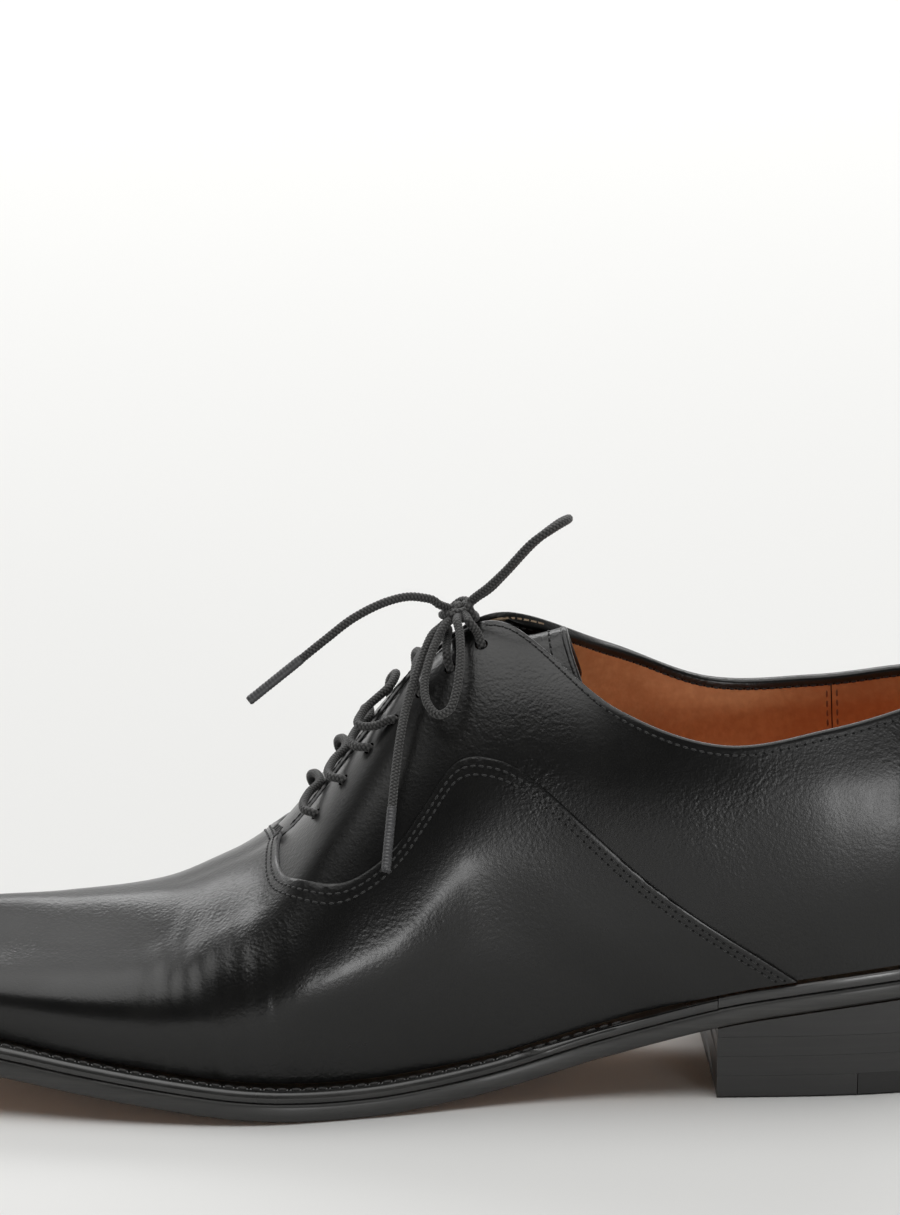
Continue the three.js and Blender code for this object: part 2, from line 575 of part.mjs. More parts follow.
add('outsole', 'sole', plate(0, LAST_STATION, sole, underside, raised(underside, OUTSOLE_THICKNESS)));
const weltEnd = inset(WELT_INSET);
const randEnd = heelBreast - GAP / STATION_PITCH;
add('welt', 'welt', band(heelBreast, LAST_STATION, sole, weltEnd, weltBottom, featherHeight));
add('heel_rand', 'welt', band(0, randEnd, sole, weltEnd, weltBottom, featherHeight));
const ribEdge = WELT_INSET + GAP;
add('insole_rib', 'board',
  band(heelBreast, LAST_STATION, inset(ribEdge), inset(ribEdge + RIB_WIDTH), weltBottom, featherHeight));
const corkInset = ribEdge + RIB_WIDTH + GAP;
const SHANK_START = along(50);
const shankEnd = SHANK_START + SHANK_LENGTH;
const corkStart = stationAt(shankEnd + 2 * GAP + 3);
add('cork_filler', 'cork',
  plate(corkStart, LAST_STATION, inset(corkInset), weltBottom, featherHeight));
add('seat_filler', 'board',
  plate(0, stationAt(SHANK_START - 2), inset(WELT_INSET + GAP), weltBottom, featherHeight));
const shankPlaces = Array.from({ length: 13 }, (_, i) => SHANK_START + (SHANK_LENGTH * i) / 12);
const SHANK_LIE = 0.7; // its underside over the outsole
const shankFace = (up) => shankPlaces.map((s) => [-1, 1].map((side) =>
  new THREE.Vector3(s, side * SHANK_WIDTH / 2 + across(2), weltBottom(s) + SHANK_LIE + up)));
add('shank', 'steel', strips(shankFace(SHANK_THICKNESS), shankFace(0)));
const insoleInset = STIFFENER_DEPTH + COUNTER_THICKNESS + GAP + LINING_THICKNESS + GAP;
const insoleBottom = raised(featherHeight, GAP);
const insoleTop = raised(insoleBottom, INSOLE_THICKNESS);
add('insole', 'board', plate(0, LAST_STATION, inset(insoleInset), insoleBottom, insoleTop));
const SOCK_INSET = 0.6;
const sockBottom = raised(insoleTop, GAP);
const sockTop = raised(sockBottom, SOCK_THICKNESS);
add('heel_sock', 'lining',
  plate(0, stationAt(SOCK_LENGTH), inset(insoleInset + SOCK_INSET), sockBottom, sockTop));

// ---------- heel ----------
const heelHeight = HEEL_BREAST_HEIGHT - GAP;
const heelEdge = (z) => () => RAND_WIDTH - HEEL_TAPER * (1 - z / heelHeight);
const flat = (z) => () => z;
const quarterTipEnd = stationAt(HEEL_START + QUARTER_TIP_LENGTH);
const LIFT_THICKNESS = (HEEL_BREAST_HEIGHT - WEDGE_THICKNESS - TOP_PIECE_THICKNESS - 2 * GAP) / 2 - GAP;
const heelLevels = [0, 1, 2].map((i) => TOP_PIECE_THICKNESS + GAP + i * (LIFT_THICKNESS + GAP));
add('quarter_tip', 'rubber', plate(0, quarterTipEnd, heelEdge(0), flat(0), flat(TOP_PIECE_THICKNESS)));
add('top_piece', 'sole',
  plate(quarterTipEnd + GAP / STATION_PITCH, heelBreast, heelEdge(0), flat(0), flat(TOP_PIECE_THICKNESS)));
add('heel_lift_lower', 'sole',
  plate(0, heelBreast, heelEdge(heelLevels[0]), flat(heelLevels[0]), flat(heelLevels[0] + LIFT_THICKNESS)));
add('heel_lift_upper', 'sole',
  plate(0, heelBreast, heelEdge(heelLevels[1]), flat(heelLevels[1]), flat(heelLevels[1] + LIFT_THICKNESS)));
add('heel_wedge', 'sole',
  plate(0, heelBreast, heelEdge(heelHeight), flat(heelLevels[2]), raised(underside, -GAP)));

// ---------- lace ----------
// Tube along points chosen by hand, each [distance from the heel's back, y, z].
function cord(points, steps, diameter = LACE_DIAMETER, sides = 8) {
  const route = points.map((p) => (p.isVector3 ? p : new THREE.Vector3(...p)));
  const path = new THREE.CatmullRomCurve3(route, false, 'centripetal');
  const section = new THREE.Shape(Array.from({ length: sides }, (_, i) => {
    const a = (2 * Math.PI * i) / sides;
    return new THREE.Vector2(Math.cos(a), Math.sin(a)).multiplyScalar(diameter / 2);
  }));
  return new THREE.ExtrudeGeometry(section, { steps, extrudePath: path, bevelEnabled: false });
}

// Point over the face of the upper.
const over = (t, h, side, height) => upperPoint(t, h, side).addScaledVector(upperNormal(t, h, side), height);
const LACE_RADIUS = LACE_DIAMETER / 2;
const LACE_DIP = 2; // how far the lace goes down into its eyelet
const LACE_RIDE = 0.7; // clearance between lace and facing

// Straight bar from eyelet to eyelet over the facings; slack lifts its middle.
const BAR_SLACK = [0, 0, 0, 5, 0, 0];
BAR_SLACK.forEach((slack, k) => {
  const [t, h] = eyelets[k];
  const ride = LACE_RADIUS + LACE_RIDE;
  const half = (side) => [
    over(t, h, side, -LACE_DIP),
    over(t, h, side, 0.2),
    over(t, h + 0.012, side, ride + 0.2),
    over(t, h + 0.04, side, ride + 0.6 + slack * 0.3),
    over(t, h + 0.6 * (1 - h), side, ride + 0.3 + slack * 0.8),
    over(t, 1, side, ride + slack),
  ];
  add(`lace_bar_${k + 1}`, 'lace', cord([...half(1), ...half(-1).reverse()], 18));
});

// The bow is laid out round the knot's place in the station table, for a lace of the table's diameter.
// It follows the crest of the facings, stretches with the shoe and grows with the lace.
const TABLE_KNOT = new THREE.Vector3(132.8, 1.5, 113.3);
const TABLE_LACE = 2.2;
const KNOT_STATION = 6.5;
const KNOT_OFFSET = new THREE.Vector3(1.30, 1.25, 4.08); // from the crest of the facings
const bowScale = new THREE.Vector3(SHOE_LENGTH / TABLE.length, 1, 1)
  .multiplyScalar(LACE_DIAMETER / TABLE_LACE);
const crest = upperPoint(KNOT_STATION, 1, 1).lerp(upperPoint(KNOT_STATION, 1, -1), 0.5);
const KNOT = crest.add(KNOT_OFFSET.multiply(bowScale));
KNOT.z += LACE_DIAMETER - TABLE_LACE; // over the topmost bar
const KNOT_RADII = new THREE.Vector3(5.2, 5.6, 3.5).multiply(bowScale);
const roundKnot = (route) => route.map((p) =>
  new THREE.Vector3(...p).sub(TABLE_KNOT).multiply(bowScale).add(KNOT));
const knot = new THREE.SphereGeometry(1, 14, 9);
knot.scale(...KNOT_RADII);
add('lace_knot', 'lace', knot.translate(...KNOT));

// From the top eyelets up to the knot.
const [riserT, riserH] = eyelets[6];
for (const [side, name] of [[1, 'lateral'], [-1, 'medial']]) {
  const ride = LACE_RADIUS + LACE_RIDE;
  add(`lace_riser_${name}`, 'lace', cord([
    over(riserT, riserH, side, -LACE_DIP), over(riserT, riserH, side, 0.2),
    over(riserT + 0.03, riserH + 0.02, side, ride + 0.4),
    KNOT.clone().add(new THREE.Vector3(-2.2, side * 7.9, -0.9).multiply(bowScale)),
    KNOT.clone().add(new THREE.Vector3(-1.6, side * 6.4, -0.2).multiply(bowScale)),
  ], 12));
}

// The two loops of the bow and the two free ends, each starting at the knot.
const BOW_LOOP_UP = [
  [129.2, 3.8, 117.2], [126.2, 5.4, 119.9], [122.0, 7.2, 124.3], [115.6, 8.8, 131.6],
  [110.6, 7.6, 134.8], [107.2, 4.2, 136.1], [106.6, 0.4, 135.7], [108.6, -2.8, 134.0],
  [114.4, -5.4, 128.8], [121.2, -4.4, 121.7], [125.4, -2.6, 117.9], [128.4, -1.2, 116.2],
];
const BOW_LOOP_DOWN = [
  [136.6, 7.9, 111.2], [138.6, 11.0, 108.2], [140.8, 16.0, 103.4], [141.8, 20.3, 98.9],
  [141.0, 24.0, 95.6], [138.6, 26.4, 93.8], [136.0, 26.6, 95.1], [134.4, 24.6, 98.6],
  [133.4, 21.0, 103.4], [133.0, 16.7, 107.8], [133.2, 11.9, 111.2], [133.6, 9.7, 112.6],
];
const FREE_END_FRONT = [
  [137.8, 4.4, 115.8], [139.2, 4.7, 116.9], [141.0, 5.2, 117.5], [145.2, 6.2, 118.1],
  [151.0, 7.2, 116.9], [158.5, 8.2, 113.3], [165.0, 9.2, 108.5], [171.2, 10.2, 103.7],
];
const FREE_END_SIDE = [
  [137.6, 5.3, 110.2], [139.5, 7.8, 109.0], [141.7, 11.4, 105.2], [143.6, 15.1, 101.0],
  [146.0, 20.2, 94.6], [147.7, 26.3, 88.4], [149.1, 32.3, 80.4], [150.0, 37.0, 73.6],
];
const END_GAP = GAP + 0.05;
function aglet(name, route, length) {
  const tip = route.at(-1);
  const way = tip.clone().sub(route.at(-2)).normalize();
  const at = [0, 0.5, 1].map((u) => tip.clone().addScaledVector(way, END_GAP + u * length));
  add(name, 'aglet', cord(at, 3, AGLET_DIAMETER, 10));
}
add('lace_loop_up', 'lace', cord(roundKnot(BOW_LOOP_UP), 24));
add('lace_loop_down', 'lace', cord(roundKnot(BOW_LOOP_DOWN), 24));
add('lace_end_front', 'lace', cord(roundKnot(FREE_END_FRONT), 16));
add('lace_end_side', 'lace', cord(roundKnot(FREE_END_SIDE), 16));
aglet('aglet_front', roundKnot(FREE_END_FRONT), AGLET_LENGTH);
aglet('aglet_side', roundKnot(FREE_END_SIDE), AGLET_LENGTH);

export default shoe;
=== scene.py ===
import math

import bmesh
import bpy
import numpy as np
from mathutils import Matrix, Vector


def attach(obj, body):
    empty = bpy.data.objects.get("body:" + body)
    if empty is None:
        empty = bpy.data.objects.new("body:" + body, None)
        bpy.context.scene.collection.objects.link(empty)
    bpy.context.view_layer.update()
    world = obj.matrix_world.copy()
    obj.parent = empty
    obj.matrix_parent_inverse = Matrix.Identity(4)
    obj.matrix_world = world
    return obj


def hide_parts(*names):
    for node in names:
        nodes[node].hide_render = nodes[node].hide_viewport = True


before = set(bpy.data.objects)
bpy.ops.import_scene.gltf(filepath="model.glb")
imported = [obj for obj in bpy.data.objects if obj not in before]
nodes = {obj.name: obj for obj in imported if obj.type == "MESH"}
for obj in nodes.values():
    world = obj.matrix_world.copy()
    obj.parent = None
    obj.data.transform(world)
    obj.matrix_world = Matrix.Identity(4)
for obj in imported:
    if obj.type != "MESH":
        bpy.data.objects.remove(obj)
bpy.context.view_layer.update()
print("frame loaded:", len(nodes), "CAD nodes")

# All shapes are worked out in millimetres, with s measured from the back of the heel; place() brings them home.
heelToOrigin = 40


def place(points):
    return (np.asarray(points, float) - (heelToOrigin, 0, 0)) * 0.001


# Shader values are written as expressions: a wire is a node's output, and sums of wires add Math nodes.
class Wire:
    def __init__(self, net, socket):
        self.net, self.socket = net, socket

    def calculate(self, operation, a, b):
        return self.net.node("ShaderNodeMath", {"operation": operation}, {0: a, 1: b})

    def __add__(self, other):
        return self.calculate("ADD", self, other)

    def __radd__(self, other):
        return self.calculate("ADD", other, self)

    def __sub__(self, other):
        return self.calculate("SUBTRACT", self, other)

    def __rsub__(self, other):
        return self.calculate("SUBTRACT", other, self)

    def __mul__(self, other):
        return self.calculate("MULTIPLY", self, other)

    def __rmul__(self, other):
        return self.calculate("MULTIPLY", other, self)

    def __truediv__(self, other):
        return self.calculate("DIVIDE", self, other)

    def __rtruediv__(self, other):
        return self.calculate("DIVIDE", other, self)


class Net:  # the nodes of a world or a material
    def __init__(self, tree):
        self.tree = tree

    def node(self, kind, settings, inputs, output=0):
        made = self.tree.nodes.new(kind)
        for key, value in settings.items():
            if key == "stops":
                ramp = made.color_ramp
                ramp.interpolation = "EASE"
                for position, _ in value[1:-1]:
                    ramp.elements.new(position)
                for element, (position, colour) in zip(ramp.elements, value):
                    element.position, element.color = position, (*colour, 1)
            else:
                setattr(made, key, value)
        for key, value in inputs.items():
            self.feed(made.inputs[key], value)
        return Wire(self, made.outputs[output])

    def feed(self, socket, value):
        if isinstance(value, Wire):
            self.tree.links.new(value.socket, socket)
        else:
            socket.default_value = value

    def axes(self, spot):
        return [self.node("ShaderNodeSeparateXYZ", {}, {0: spot}, axis) for axis in "XYZ"]

    def mix(self, share, a, b):
        colours = {key: (*value, 1) if isinstance(value, tuple) else value for key, value in ((6, a), (7, b))}
        return self.node("ShaderNodeMix", {"data_type": "RGBA"}, {0: share, **colours}, 2)


# Camera, studio and lamps, in metres.
view = {
    "stand": (0.1494, 1.5597, 0.4600),
    "aim": (0.0949, -0.0014, 0.1137),
    "lens": 196.74,
    "sensor": 36,
}
studioLight = {
    "strength": 2.38,
    # brightness by height: dim walls under a wide soft ceiling, and a paler wall behind the shoe
    "frontWall": [(0.0, 0.05), (0.32, 0.04), (0.78, 0.03), (0.90, 0.95), (1.0, 1.0)],
    "backWall": [(0.0, 0.34), (0.18, 0.32), (0.40, 0.16), (0.76, 0.05), (0.90, 0.95), (1.0, 1.0)],
    "wallTint": (1, 0.997, 0.985),
    "frontEnds": 0.1,  # the walls blend between these two headings
    "backStarts": -0.35,
    "lamps": {
        "back_box": {
            "watts": 56.0, "stand": (0.45, -3.0, 2.22), "aim": (0.2, 0, 0.05), "width": 4.6, "height": 0.95},
        "front_box": {
            "watts": 16.0, "stand": (-1.10, 3.10, 0.38), "aim": (0.1, 0, 0.06), "width": 0.66, "height": 0.56},
    },
}


def pointed(made, look):
    made.location = look["stand"]
    made.rotation_euler = (Vector(look["aim"]) - Vector(look["stand"])).to_track_quat("-Z", "Y").to_euler()
    bpy.context.scene.collection.objects.link(made)
    return made


camera = pointed(bpy.data.objects.new("camera", bpy.data.cameras.new("camera")), view)
camera.data.lens = view["lens"]
camera.data.sensor_width = view["sensor"]
bpy.context.scene.camera = camera
bpy.context.scene.view_settings.view_transform = "Standard"

world = bpy.data.worlds.new("studio")
world.use_nodes = True
studio = Net(world.node_tree)
heading = studio.axes(studio.node("ShaderNodeTexCoord", {}, {}, "Generated"))
walls = []
for wall in ("frontWall", "backWall"):
    stops = [(height, tuple(level * tint for tint in studioLight["wallTint"]))
             for height, level in studioLight[wall]]
    walls.append(studio.node("ShaderNodeValToRGB", {"stops": stops}, {0: heading[2]}))
behind = studio.node("ShaderNodeMapRange", {}, {
    "Value": heading[1], "From Min": studioLight["frontEnds"], "From Max": studioLight["backStarts"]}, "Result")
background = world.node_tree.nodes["Background"].inputs
studio.feed(background["Color"], studio.mix(behind, *walls))
studio.feed(background["Strength"], studioLight["strength"])
bpy.context.scene.world = world

for name, look in studioLight["lamps"].items():
    lamp = pointed(bpy.data.objects.new(name, bpy.data.lights.new(name, "AREA")), look)
    lamp.data.energy = look["watts"]
    lamp.data.shape = "RECTANGLE"
    lamp.data.size, lamp.data.size_y = look["width"], look["height"]
print("camera and light")


class Shader(Net):  # one material
    def __init__(self, name, **constants):
        self.material = bpy.data.materials.new(name)
        self.material.use_nodes = True
        super().__init__(self.material.node_tree)
        self.surface = self.tree.nodes["Principled BSDF"]
        for key, value in constants.items():
            self.surface.inputs[key.replace("_", " ")].default_value = value
        self.spot = self.node("ShaderNodeTexCoord", {}, {}, "Object")

    def stretched(self, stretch):
        return self.node("ShaderNodeVectorMath", {"operation": "MULTIPLY"}, {0: self.spot, 1: stretch})

    def noise(self, scale, detail=2.0, stretch=(1, 1, 1), roughness=0.5):
        return self.node("ShaderNodeTexNoise", {}, {
            "Vector": self.stretched(stretch), "Scale": scale, "Detail": detail, "Roughness": roughness})

    def cells(self, scale, feature="F1"):
        return self.node("ShaderNodeTexVoronoi", {"feature": feature}, {
            "Vector": self.stretched((1, 1, 1)), "Scale": scale}, "Distance")

    def limit(self, value, low, high, newLow=0.0, newHigh=1.0):
        return self.node("ShaderNodeMapRange", {"interpolation_type": "SMOOTHSTEP"}, {
            "Value": value, "From Min": low, "From Max": high, "To Min": newLow, "To Max": newHigh}, "Result")

    def finish(self, colour, rough, height=None, lift=0.0001, strength=1.0, coat=None):
        for key, value in (("Base Color", colour), ("Roughness", rough), ("Coat Weight", coat)):
            if value is not None:
                self.feed(self.surface.inputs[key], value)
        if height is not None:
            bump = {"Height": height, "Distance": lift, "Strength": strength}
            self.feed(self.surface.inputs["Normal"], self.node("ShaderNodeBump", {}, bump, "Normal"))
        return self.material


# Looks; lengths are in metres.
calfLook = {
    "dark": (0.0035, 0.0035, 0.0034),
    "worn": (0.0085, 0.0083, 0.0079),
    "smoothest": 0.23,
    "roughest": 0.37,
    "pores": 1350,  # to the metre
    "grainLift": 0.00013,
    "creaseMiddle": 0.150,  # where the vamp bends, along the shoe
    "creaseReach": 0.026,
    "creaseTop": 0.055,  # folds fade out between these two heights
    "creaseBottom": 0.03,
    "creaseDepth": 9,  # against the grain's
}


def calf(name, look, creased=False):
    leather = Shader(name, IOR=1.5, Specular_IOR_Level=0.4, Coat_Roughness=0.14)
    cloud = leather.noise(38, 3)
    fine = leather.noise(420, 2)
    wear = leather.limit(cloud, 0.42, 0.72)
    pores = leather.cells(look["pores"], "SMOOTH_F1")
    grained = leather.limit(leather.noise(24, 2), 0.42, 0.66, 0.3, 1.0)  # the grain stands out in places
    height = (pores * 0.6 + leather.noise(900, 3) * 1.1) * grained + leather.noise(2600, 1) * 0.2
    if creased:
        x, y, z = leather.axes(leather.spot)
        reach = (x - look["creaseMiddle"]) / look["creaseReach"]
        flex = leather.limit(reach * reach, 1, 0) * leather.limit(z, look["creaseTop"], look["creaseBottom"])
        folds = leather.limit(leather.noise(34, 2, (2.2, 0.7, 0.5)), 0.3, 0.7)
        height = height + folds * flex * look["creaseDepth"]
    colour = leather.mix(wear, look["dark"], look["worn"])
    rough = look["smoothest"] + (cloud * 0.6 + fine * 0.4) * (look["roughest"] - look["smoothest"])
    polish = leather.limit(cloud, 0.35, 0.7, 0.16, 0.04)
    return leather.finish(colour, rough, height, look["grainLift"], 0.85, polish)


liningLook = {
    "deep": (0.62, 0.25, 0.10),
    "light": (0.80, 0.38, 0.17),
    "pores": 1100,
}


def lining(name, look):
    hide = Shader(name, Specular_IOR_Level=0.35)
    cloud = hide.noise(30, 4)
    pores = hide.cells(look["pores"])
    mottle = hide.limit(cloud * 0.7 + hide.noise(500, 2) * 0.3, 0.35, 0.68)
    colour = hide.mix(mottle, look["deep"], look["light"])
    rough = 0.5 + hide.noise(90, 2) * 0.2
    return hide.finish(colour, rough, pores * 0.6 + hide.noise(300, 3) * 0.8, 0.00008, 0.6)


def edgeLeather(name, dark, light, smoothest, roughest, coat=0.25, layered=0.6):
    edge = Shader(name, Coat_Roughness=0.2)
    layers = edge.noise(260, 4, (0.12, 0.12, 2.4), 0.65)  # fibres run along the edge
    colour = edge.mix(edge.limit(layers, 0.4, 0.75), dark, light)
    rough = smoothest + edge.noise(75, 3) * (roughest - smoothest)
    return edge.finish(colour, rough, layers * layered + edge.noise(1800, 2) * 0.4, 0.00005, 0.5,
                       edge.limit(layers, 0.3, 0.7, coat, coat * 0.4))


def underLeather(name):
    under = Shader(name, Specular_IOR_Level=0.4)
    cloud = under.noise(26, 4)
    scuffs = under.limit(under.noise(120, 4, (0.25, 1, 1), 0.7), 0.56, 0.72)
    tan = under.mix(under.limit(cloud, 0.35, 0.7), (0.36, 0.19, 0.09), (0.48, 0.28, 0.15))
    colour = under.mix(scuffs * 0.5, tan, (0.21, 0.13, 0.08))
    return under.finish(colour, 0.45 + cloud * 0.25, under.noise(900, 3) + scuffs * 0.6, 0.00006, 0.6)


def rubber(name):
    block = Shader(name, Specular_IOR_Level=0.4)
    speck = block.noise(1700, 2)
    colour = block.mix(speck, (0.022, 0.0218, 0.0214), (0.032, 0.0315, 0.0305))
    return block.finish(colour, 0.5 + speck * 0.15, speck + block.noise(240, 3), 0.00004, 0.6)


def cotton(name, dark, light, braidShaded=False):
    thread = Shader(name, Specular_IOR_Level=0.35, Sheen_Weight=0.25, Sheen_Roughness=0.5)
    fibres = thread.noise(2300, 3)
    if braidShaded:
        rise = thread.node("ShaderNodeAttribute", {"attribute_name": "rise"}, {}, "Fac")
        # painted shade and highlight: darker in the grooves between strands, lighter on their crests
        fibres = thread.limit(rise, 0.25, 0.95) * (0.55 + fibres * 0.9)
    return thread.finish(thread.mix(fibres, dark, light), 0.5 + fibres * 0.2, fibres, 0.00008, 0.7)


def plastic(name):
    tip = Shader(name, Specular_IOR_Level=0.5)
    haze = tip.noise(700, 2)
    colour = tip.mix(haze, (0.05, 0.05, 0.052), (0.1, 0.1, 0.104))
    return tip.finish(colour, 0.3 + haze * 0.15, haze, 0.00003, 0.4)


def fibrous(name, dark, light, scale, lift):
    sheet = Shader(name, Specular_IOR_Level=0.3)
    fibres = sheet.noise(scale, 5, (1, 1, 1), 0.7)
    colour = sheet.mix(sheet.limit(fibres, 0.35, 0.65), dark, light)
    return sheet.finish(colour, 0.7 + fibres * 0.25, fibres, lift, 0.8)


def springSteel(name):
    strip = Shader(name, Metallic=1.0)
    drawn = strip.noise(900, 3, (0.03, 1, 1))
    colour = strip.mix(drawn, (0.30, 0.31, 0.33), (0.46, 0.47, 0.49))
    return strip.finish(colour, 0.28 + drawn * 0.2, drawn, 0.00003, 0.5)


def paper(name):
    floor = Shader(name, Specular_IOR_Level=0.0)
    return floor.finish(floor.mix(floor.noise(3, 2), (0.815, 0.815, 0.808), (0.82, 0.82, 0.812)), 0.8)


finish = {
    "calf": calf("calf", calfLook),
    "vamp": calf("calf_vamp", calfLook, creased=True),
    "lining": lining("lining", liningLook),
    "welt": edgeLeather("welt_leather", (0.014, 0.014, 0.0135), (0.045, 0.044, 0.042), 0.2, 0.42, 0.7),
    "sole": edgeLeather("sole_edge", (0.027, 0.0265, 0.0255), (0.05, 0.049, 0.046), 0.38, 0.56),
    "heel": edgeLeather("heel_stack", (0.026, 0.0255, 0.025), (0.032, 0.0315, 0.0305), 0.42, 0.55, 0.1, 0.25),
    "under": underLeather("sole_underside"),
    "rubber": rubber("heel_rubber"),
    "lace": cotton("lace_cotton", (0.0035, 0.0035, 0.0035), (0.085, 0.084, 0.082), True),
    "thread": cotton("black_thread", (0.009, 0.009, 0.009), (0.03, 0.03, 0.03)),
    # near-black, as painted shade inside the awl holes at the stitch ends
    "holeShade": fibrous("awl_hole_shade", (0.001, 0.001, 0.001), (0.003, 0.003, 0.003), 900, 0.00002),
    "weltThread": cotton("welt_thread", (0.022, 0.0215, 0.021), (0.06, 0.059, 0.057)),
    "tanThread": cotton("tan_thread", (0.17, 0.06, 0.024), (0.32, 0.13, 0.055)),
    "aglet": plastic("aglet_plastic"),
    "board": fibrous("board", (0.19, 0.13, 0.08), (0.34, 0.25, 0.17), 380, 0.0001),
    "cork": fibrous("cork", (0.10, 0.055, 0.026), (0.33, 0.2, 0.1), 260, 0.0003),
    "steel": springSteel("shank_steel"),
    "floor": paper("floor"),
}
print("finishes:", len(finish))

floorSize = 8
floorMesh = bpy.data.meshes.new("floor")
floorMesh.from_pydata([(x * floorSize, y * floorSize, 0) for x, y in ((-1, -1), (1, -1), (1, 1), (-1, 1))], [],
                      [(0, 1, 2, 3)])
floor = bpy.data.objects.new("floor", floorMesh)
floor.data.materials.append(finish["floor"])
bpy.context.scene.collection.objects.link(floor)


# Meshes and the curves they follow.
meshing = {"facingDown": -0.85, "merge": 2e-6, "thinnest": 1e-6}  # the last two in metres


# "under" is a second look, for the faces marked 1 in "second", or for those that face down.
def build(name, points, faces, look, slot, body="shoe", angle=34, replaced=(), under=None, second=None,
          rise=None):
    mesh = bpy.data.meshes.new(name)
    mesh.from_pydata(place(points).tolist(), [], faces)
    if second is not None:
        mesh.polygons.foreach_set("material_index", second)
    if rise is not None:  # height of the braid's strands, read by the cotton's shader to paint shade in the grooves and highlight on the crests
        heights = mesh.attributes.new("rise", "FLOAT", "POINT").data
        heights.foreach_set("value", np.asarray(rise, np.float32).ravel())
    work = bmesh.new()
    work.from_mesh(mesh)
    bmesh.ops.remove_doubles(work, verts=work.verts, dist=meshing["merge"])
    bmesh.ops.dissolve_degenerate(work, edges=work.edges, dist=meshing["thinnest"])
    bmesh.ops.recalc_face_normals(work, faces=work.faces)
    for face in work.faces:
        face.smooth = True
        if under is not None and second is None and face.normal.z < meshing["facingDown"]:
            face.material_index = 1
    for edge in work.edges:
        if len(edge.link_faces) == 2 and edge.calc_face_angle() > math.radians(angle):
            edge.smooth = False
    work.to_mesh(mesh)
    work.free()
    made = bpy.data.objects.new(name, mesh)
    mesh.materials.append(look)
    if under is not None:
        mesh.materials.append(under)
    bpy.context.scene.collection.objects.link(made)
    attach(made, body)
    if replaced:
        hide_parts(*replaced)
    return made


def unit(vectors):
    return vectors / np.maximum(np.linalg.norm(vectors, axis=-1, keepdims=True), 1e-12)


def smoothCurve(points, perSpan=12):  # passes through every point, evenly tense whatever their spacing
    p = np.asarray(points, float)
    p = np.vstack([2 * p[0] - p[1], p, 2 * p[-1] - p[-2]])
    gap = np.maximum(np.linalg.norm(np.diff(p, axis=0), axis=1) ** 0.5, 1e-4)
    made = []
    for i in range(1, len(p) - 2):
        a, b, c, d = p[i - 1:i + 3]
        g0, g1, g2 = gap[i - 1:i + 2]
        start = ((b - a) / g0 - (c - a) / (g0 + g1) + (c - b) / g1) * g1
        end = ((c - b) / g1 - (d - b) / (g1 + g2) + (d - c) / g2) * g1
        u = np.linspace(0, 1, perSpan, endpoint=i == len(p) - 3)[:, None]
        ends = (3 * (c - b) - 2 * start - end) * u ** 2 + (2 * (b - c) + start + end) * u ** 3
        made.append(b + start * u + ends)
    return np.vstack(made)


def stepAlong(points, pitch):  # the same curve with even steps
    run = travel(points)
    places = np.linspace(0, run[-1], max(3, int(round(run[-1] / pitch)) + 1))
    return np.stack([np.interp(places, run, points[:, k]) for k in range(points.shape[1])], axis=1)


def travel(points):  # distance along a curve, at each of its points
    return np.concatenate([[0], np.cumsum(np.linalg.norm(np.diff(points, axis=0), axis=1))])


def tubeFaces(rows, sides, first=0):  # sides of a tube of rings, and its two ends
    faces = [[first + i * sides + k, first + i * sides + (k + 1) % sides,
              first + (i + 1) * sides + (k + 1) % sides, first + (i + 1) * sides + k]
             for i in range(rows - 1) for k in range(sides)]
    ends = [first + k for k in reversed(range(sides))], [first + (rows - 1) * sides + k for k in range(sides)]
    return faces + list(ends)


def sweep(points, radius, sides, relief=None):  # tube with a frame carried along the curve
    run = unit(np.gradient(points, axis=0))
    across = np.zeros_like(points)
    across[0] = unit(np.cross(run[0], (0.3, 0.2, 1.0)))
    for i in range(1, len(points)):
        across[i] = unit(across[i - 1] - run[i] * np.dot(across[i - 1], run[i]))
    up = np.cross(run, across)
    angle = np.arange(sides) * 2 * math.pi / sides
    swell = np.ones((len(points), sides)) if relief is None else relief(travel(points)[:, None], angle[None])
    wide = np.broadcast_to(np.asarray(radius, float).reshape(-1, 1), swell.shape) * swell
    ring = across[:, None] * np.cos(angle)[None, :, None] + up[:, None] * np.sin(angle)[None, :, None]
    return (points[:, None] + ring * wide[..., None]).reshape(-1, 3), tubeFaces(len(points), sides)


# The last's shape, as the CAD model has it.
stations = [  # feather line (s, half breadth), bulge, shoulder, top (s, half breadth, height)
    ((5, 0), 0, 0, (6, 0, 64.0)),
    ((9, 17.5), 19.5, 17, (10, 13, 63.8)),
    ((21, 27), 29.5, 27, (23, 22.5, 62.4)),
    ((41, 31), 33, 31, (45, 27.5, 59.3)),
    ((69, 31.8), 34, 32.5, (71, 29, 59.8)),
    ((99, 31), 33.5, 31.5, (96, 22.5, 75.2)),
    ((128, 34.5), 36.5, 27.5, (122, 4.6, 99.8)),
    ((156, 41.5), 43.5, 25.5, (140, 2.5, 93.3)),
    ((182, 46.5), 48.5, 29.5, (158, 1.9, 70.2)),
    ((208, 44.5), 46.5, 31, (176, 0, 45)),
    ((235, 38.5), 40.5, 28, (198, 0, 30.7)),
    ((262, 30.5), 32, 21.5, (222, 0, 23.2)),
    ((283, 18), 19.2, 12.5, (244, 0, 19.7)),
    ((291.5, 0), 0, 0, (253, 0, 18.2)),
]
lastStation = len(stations) - 1
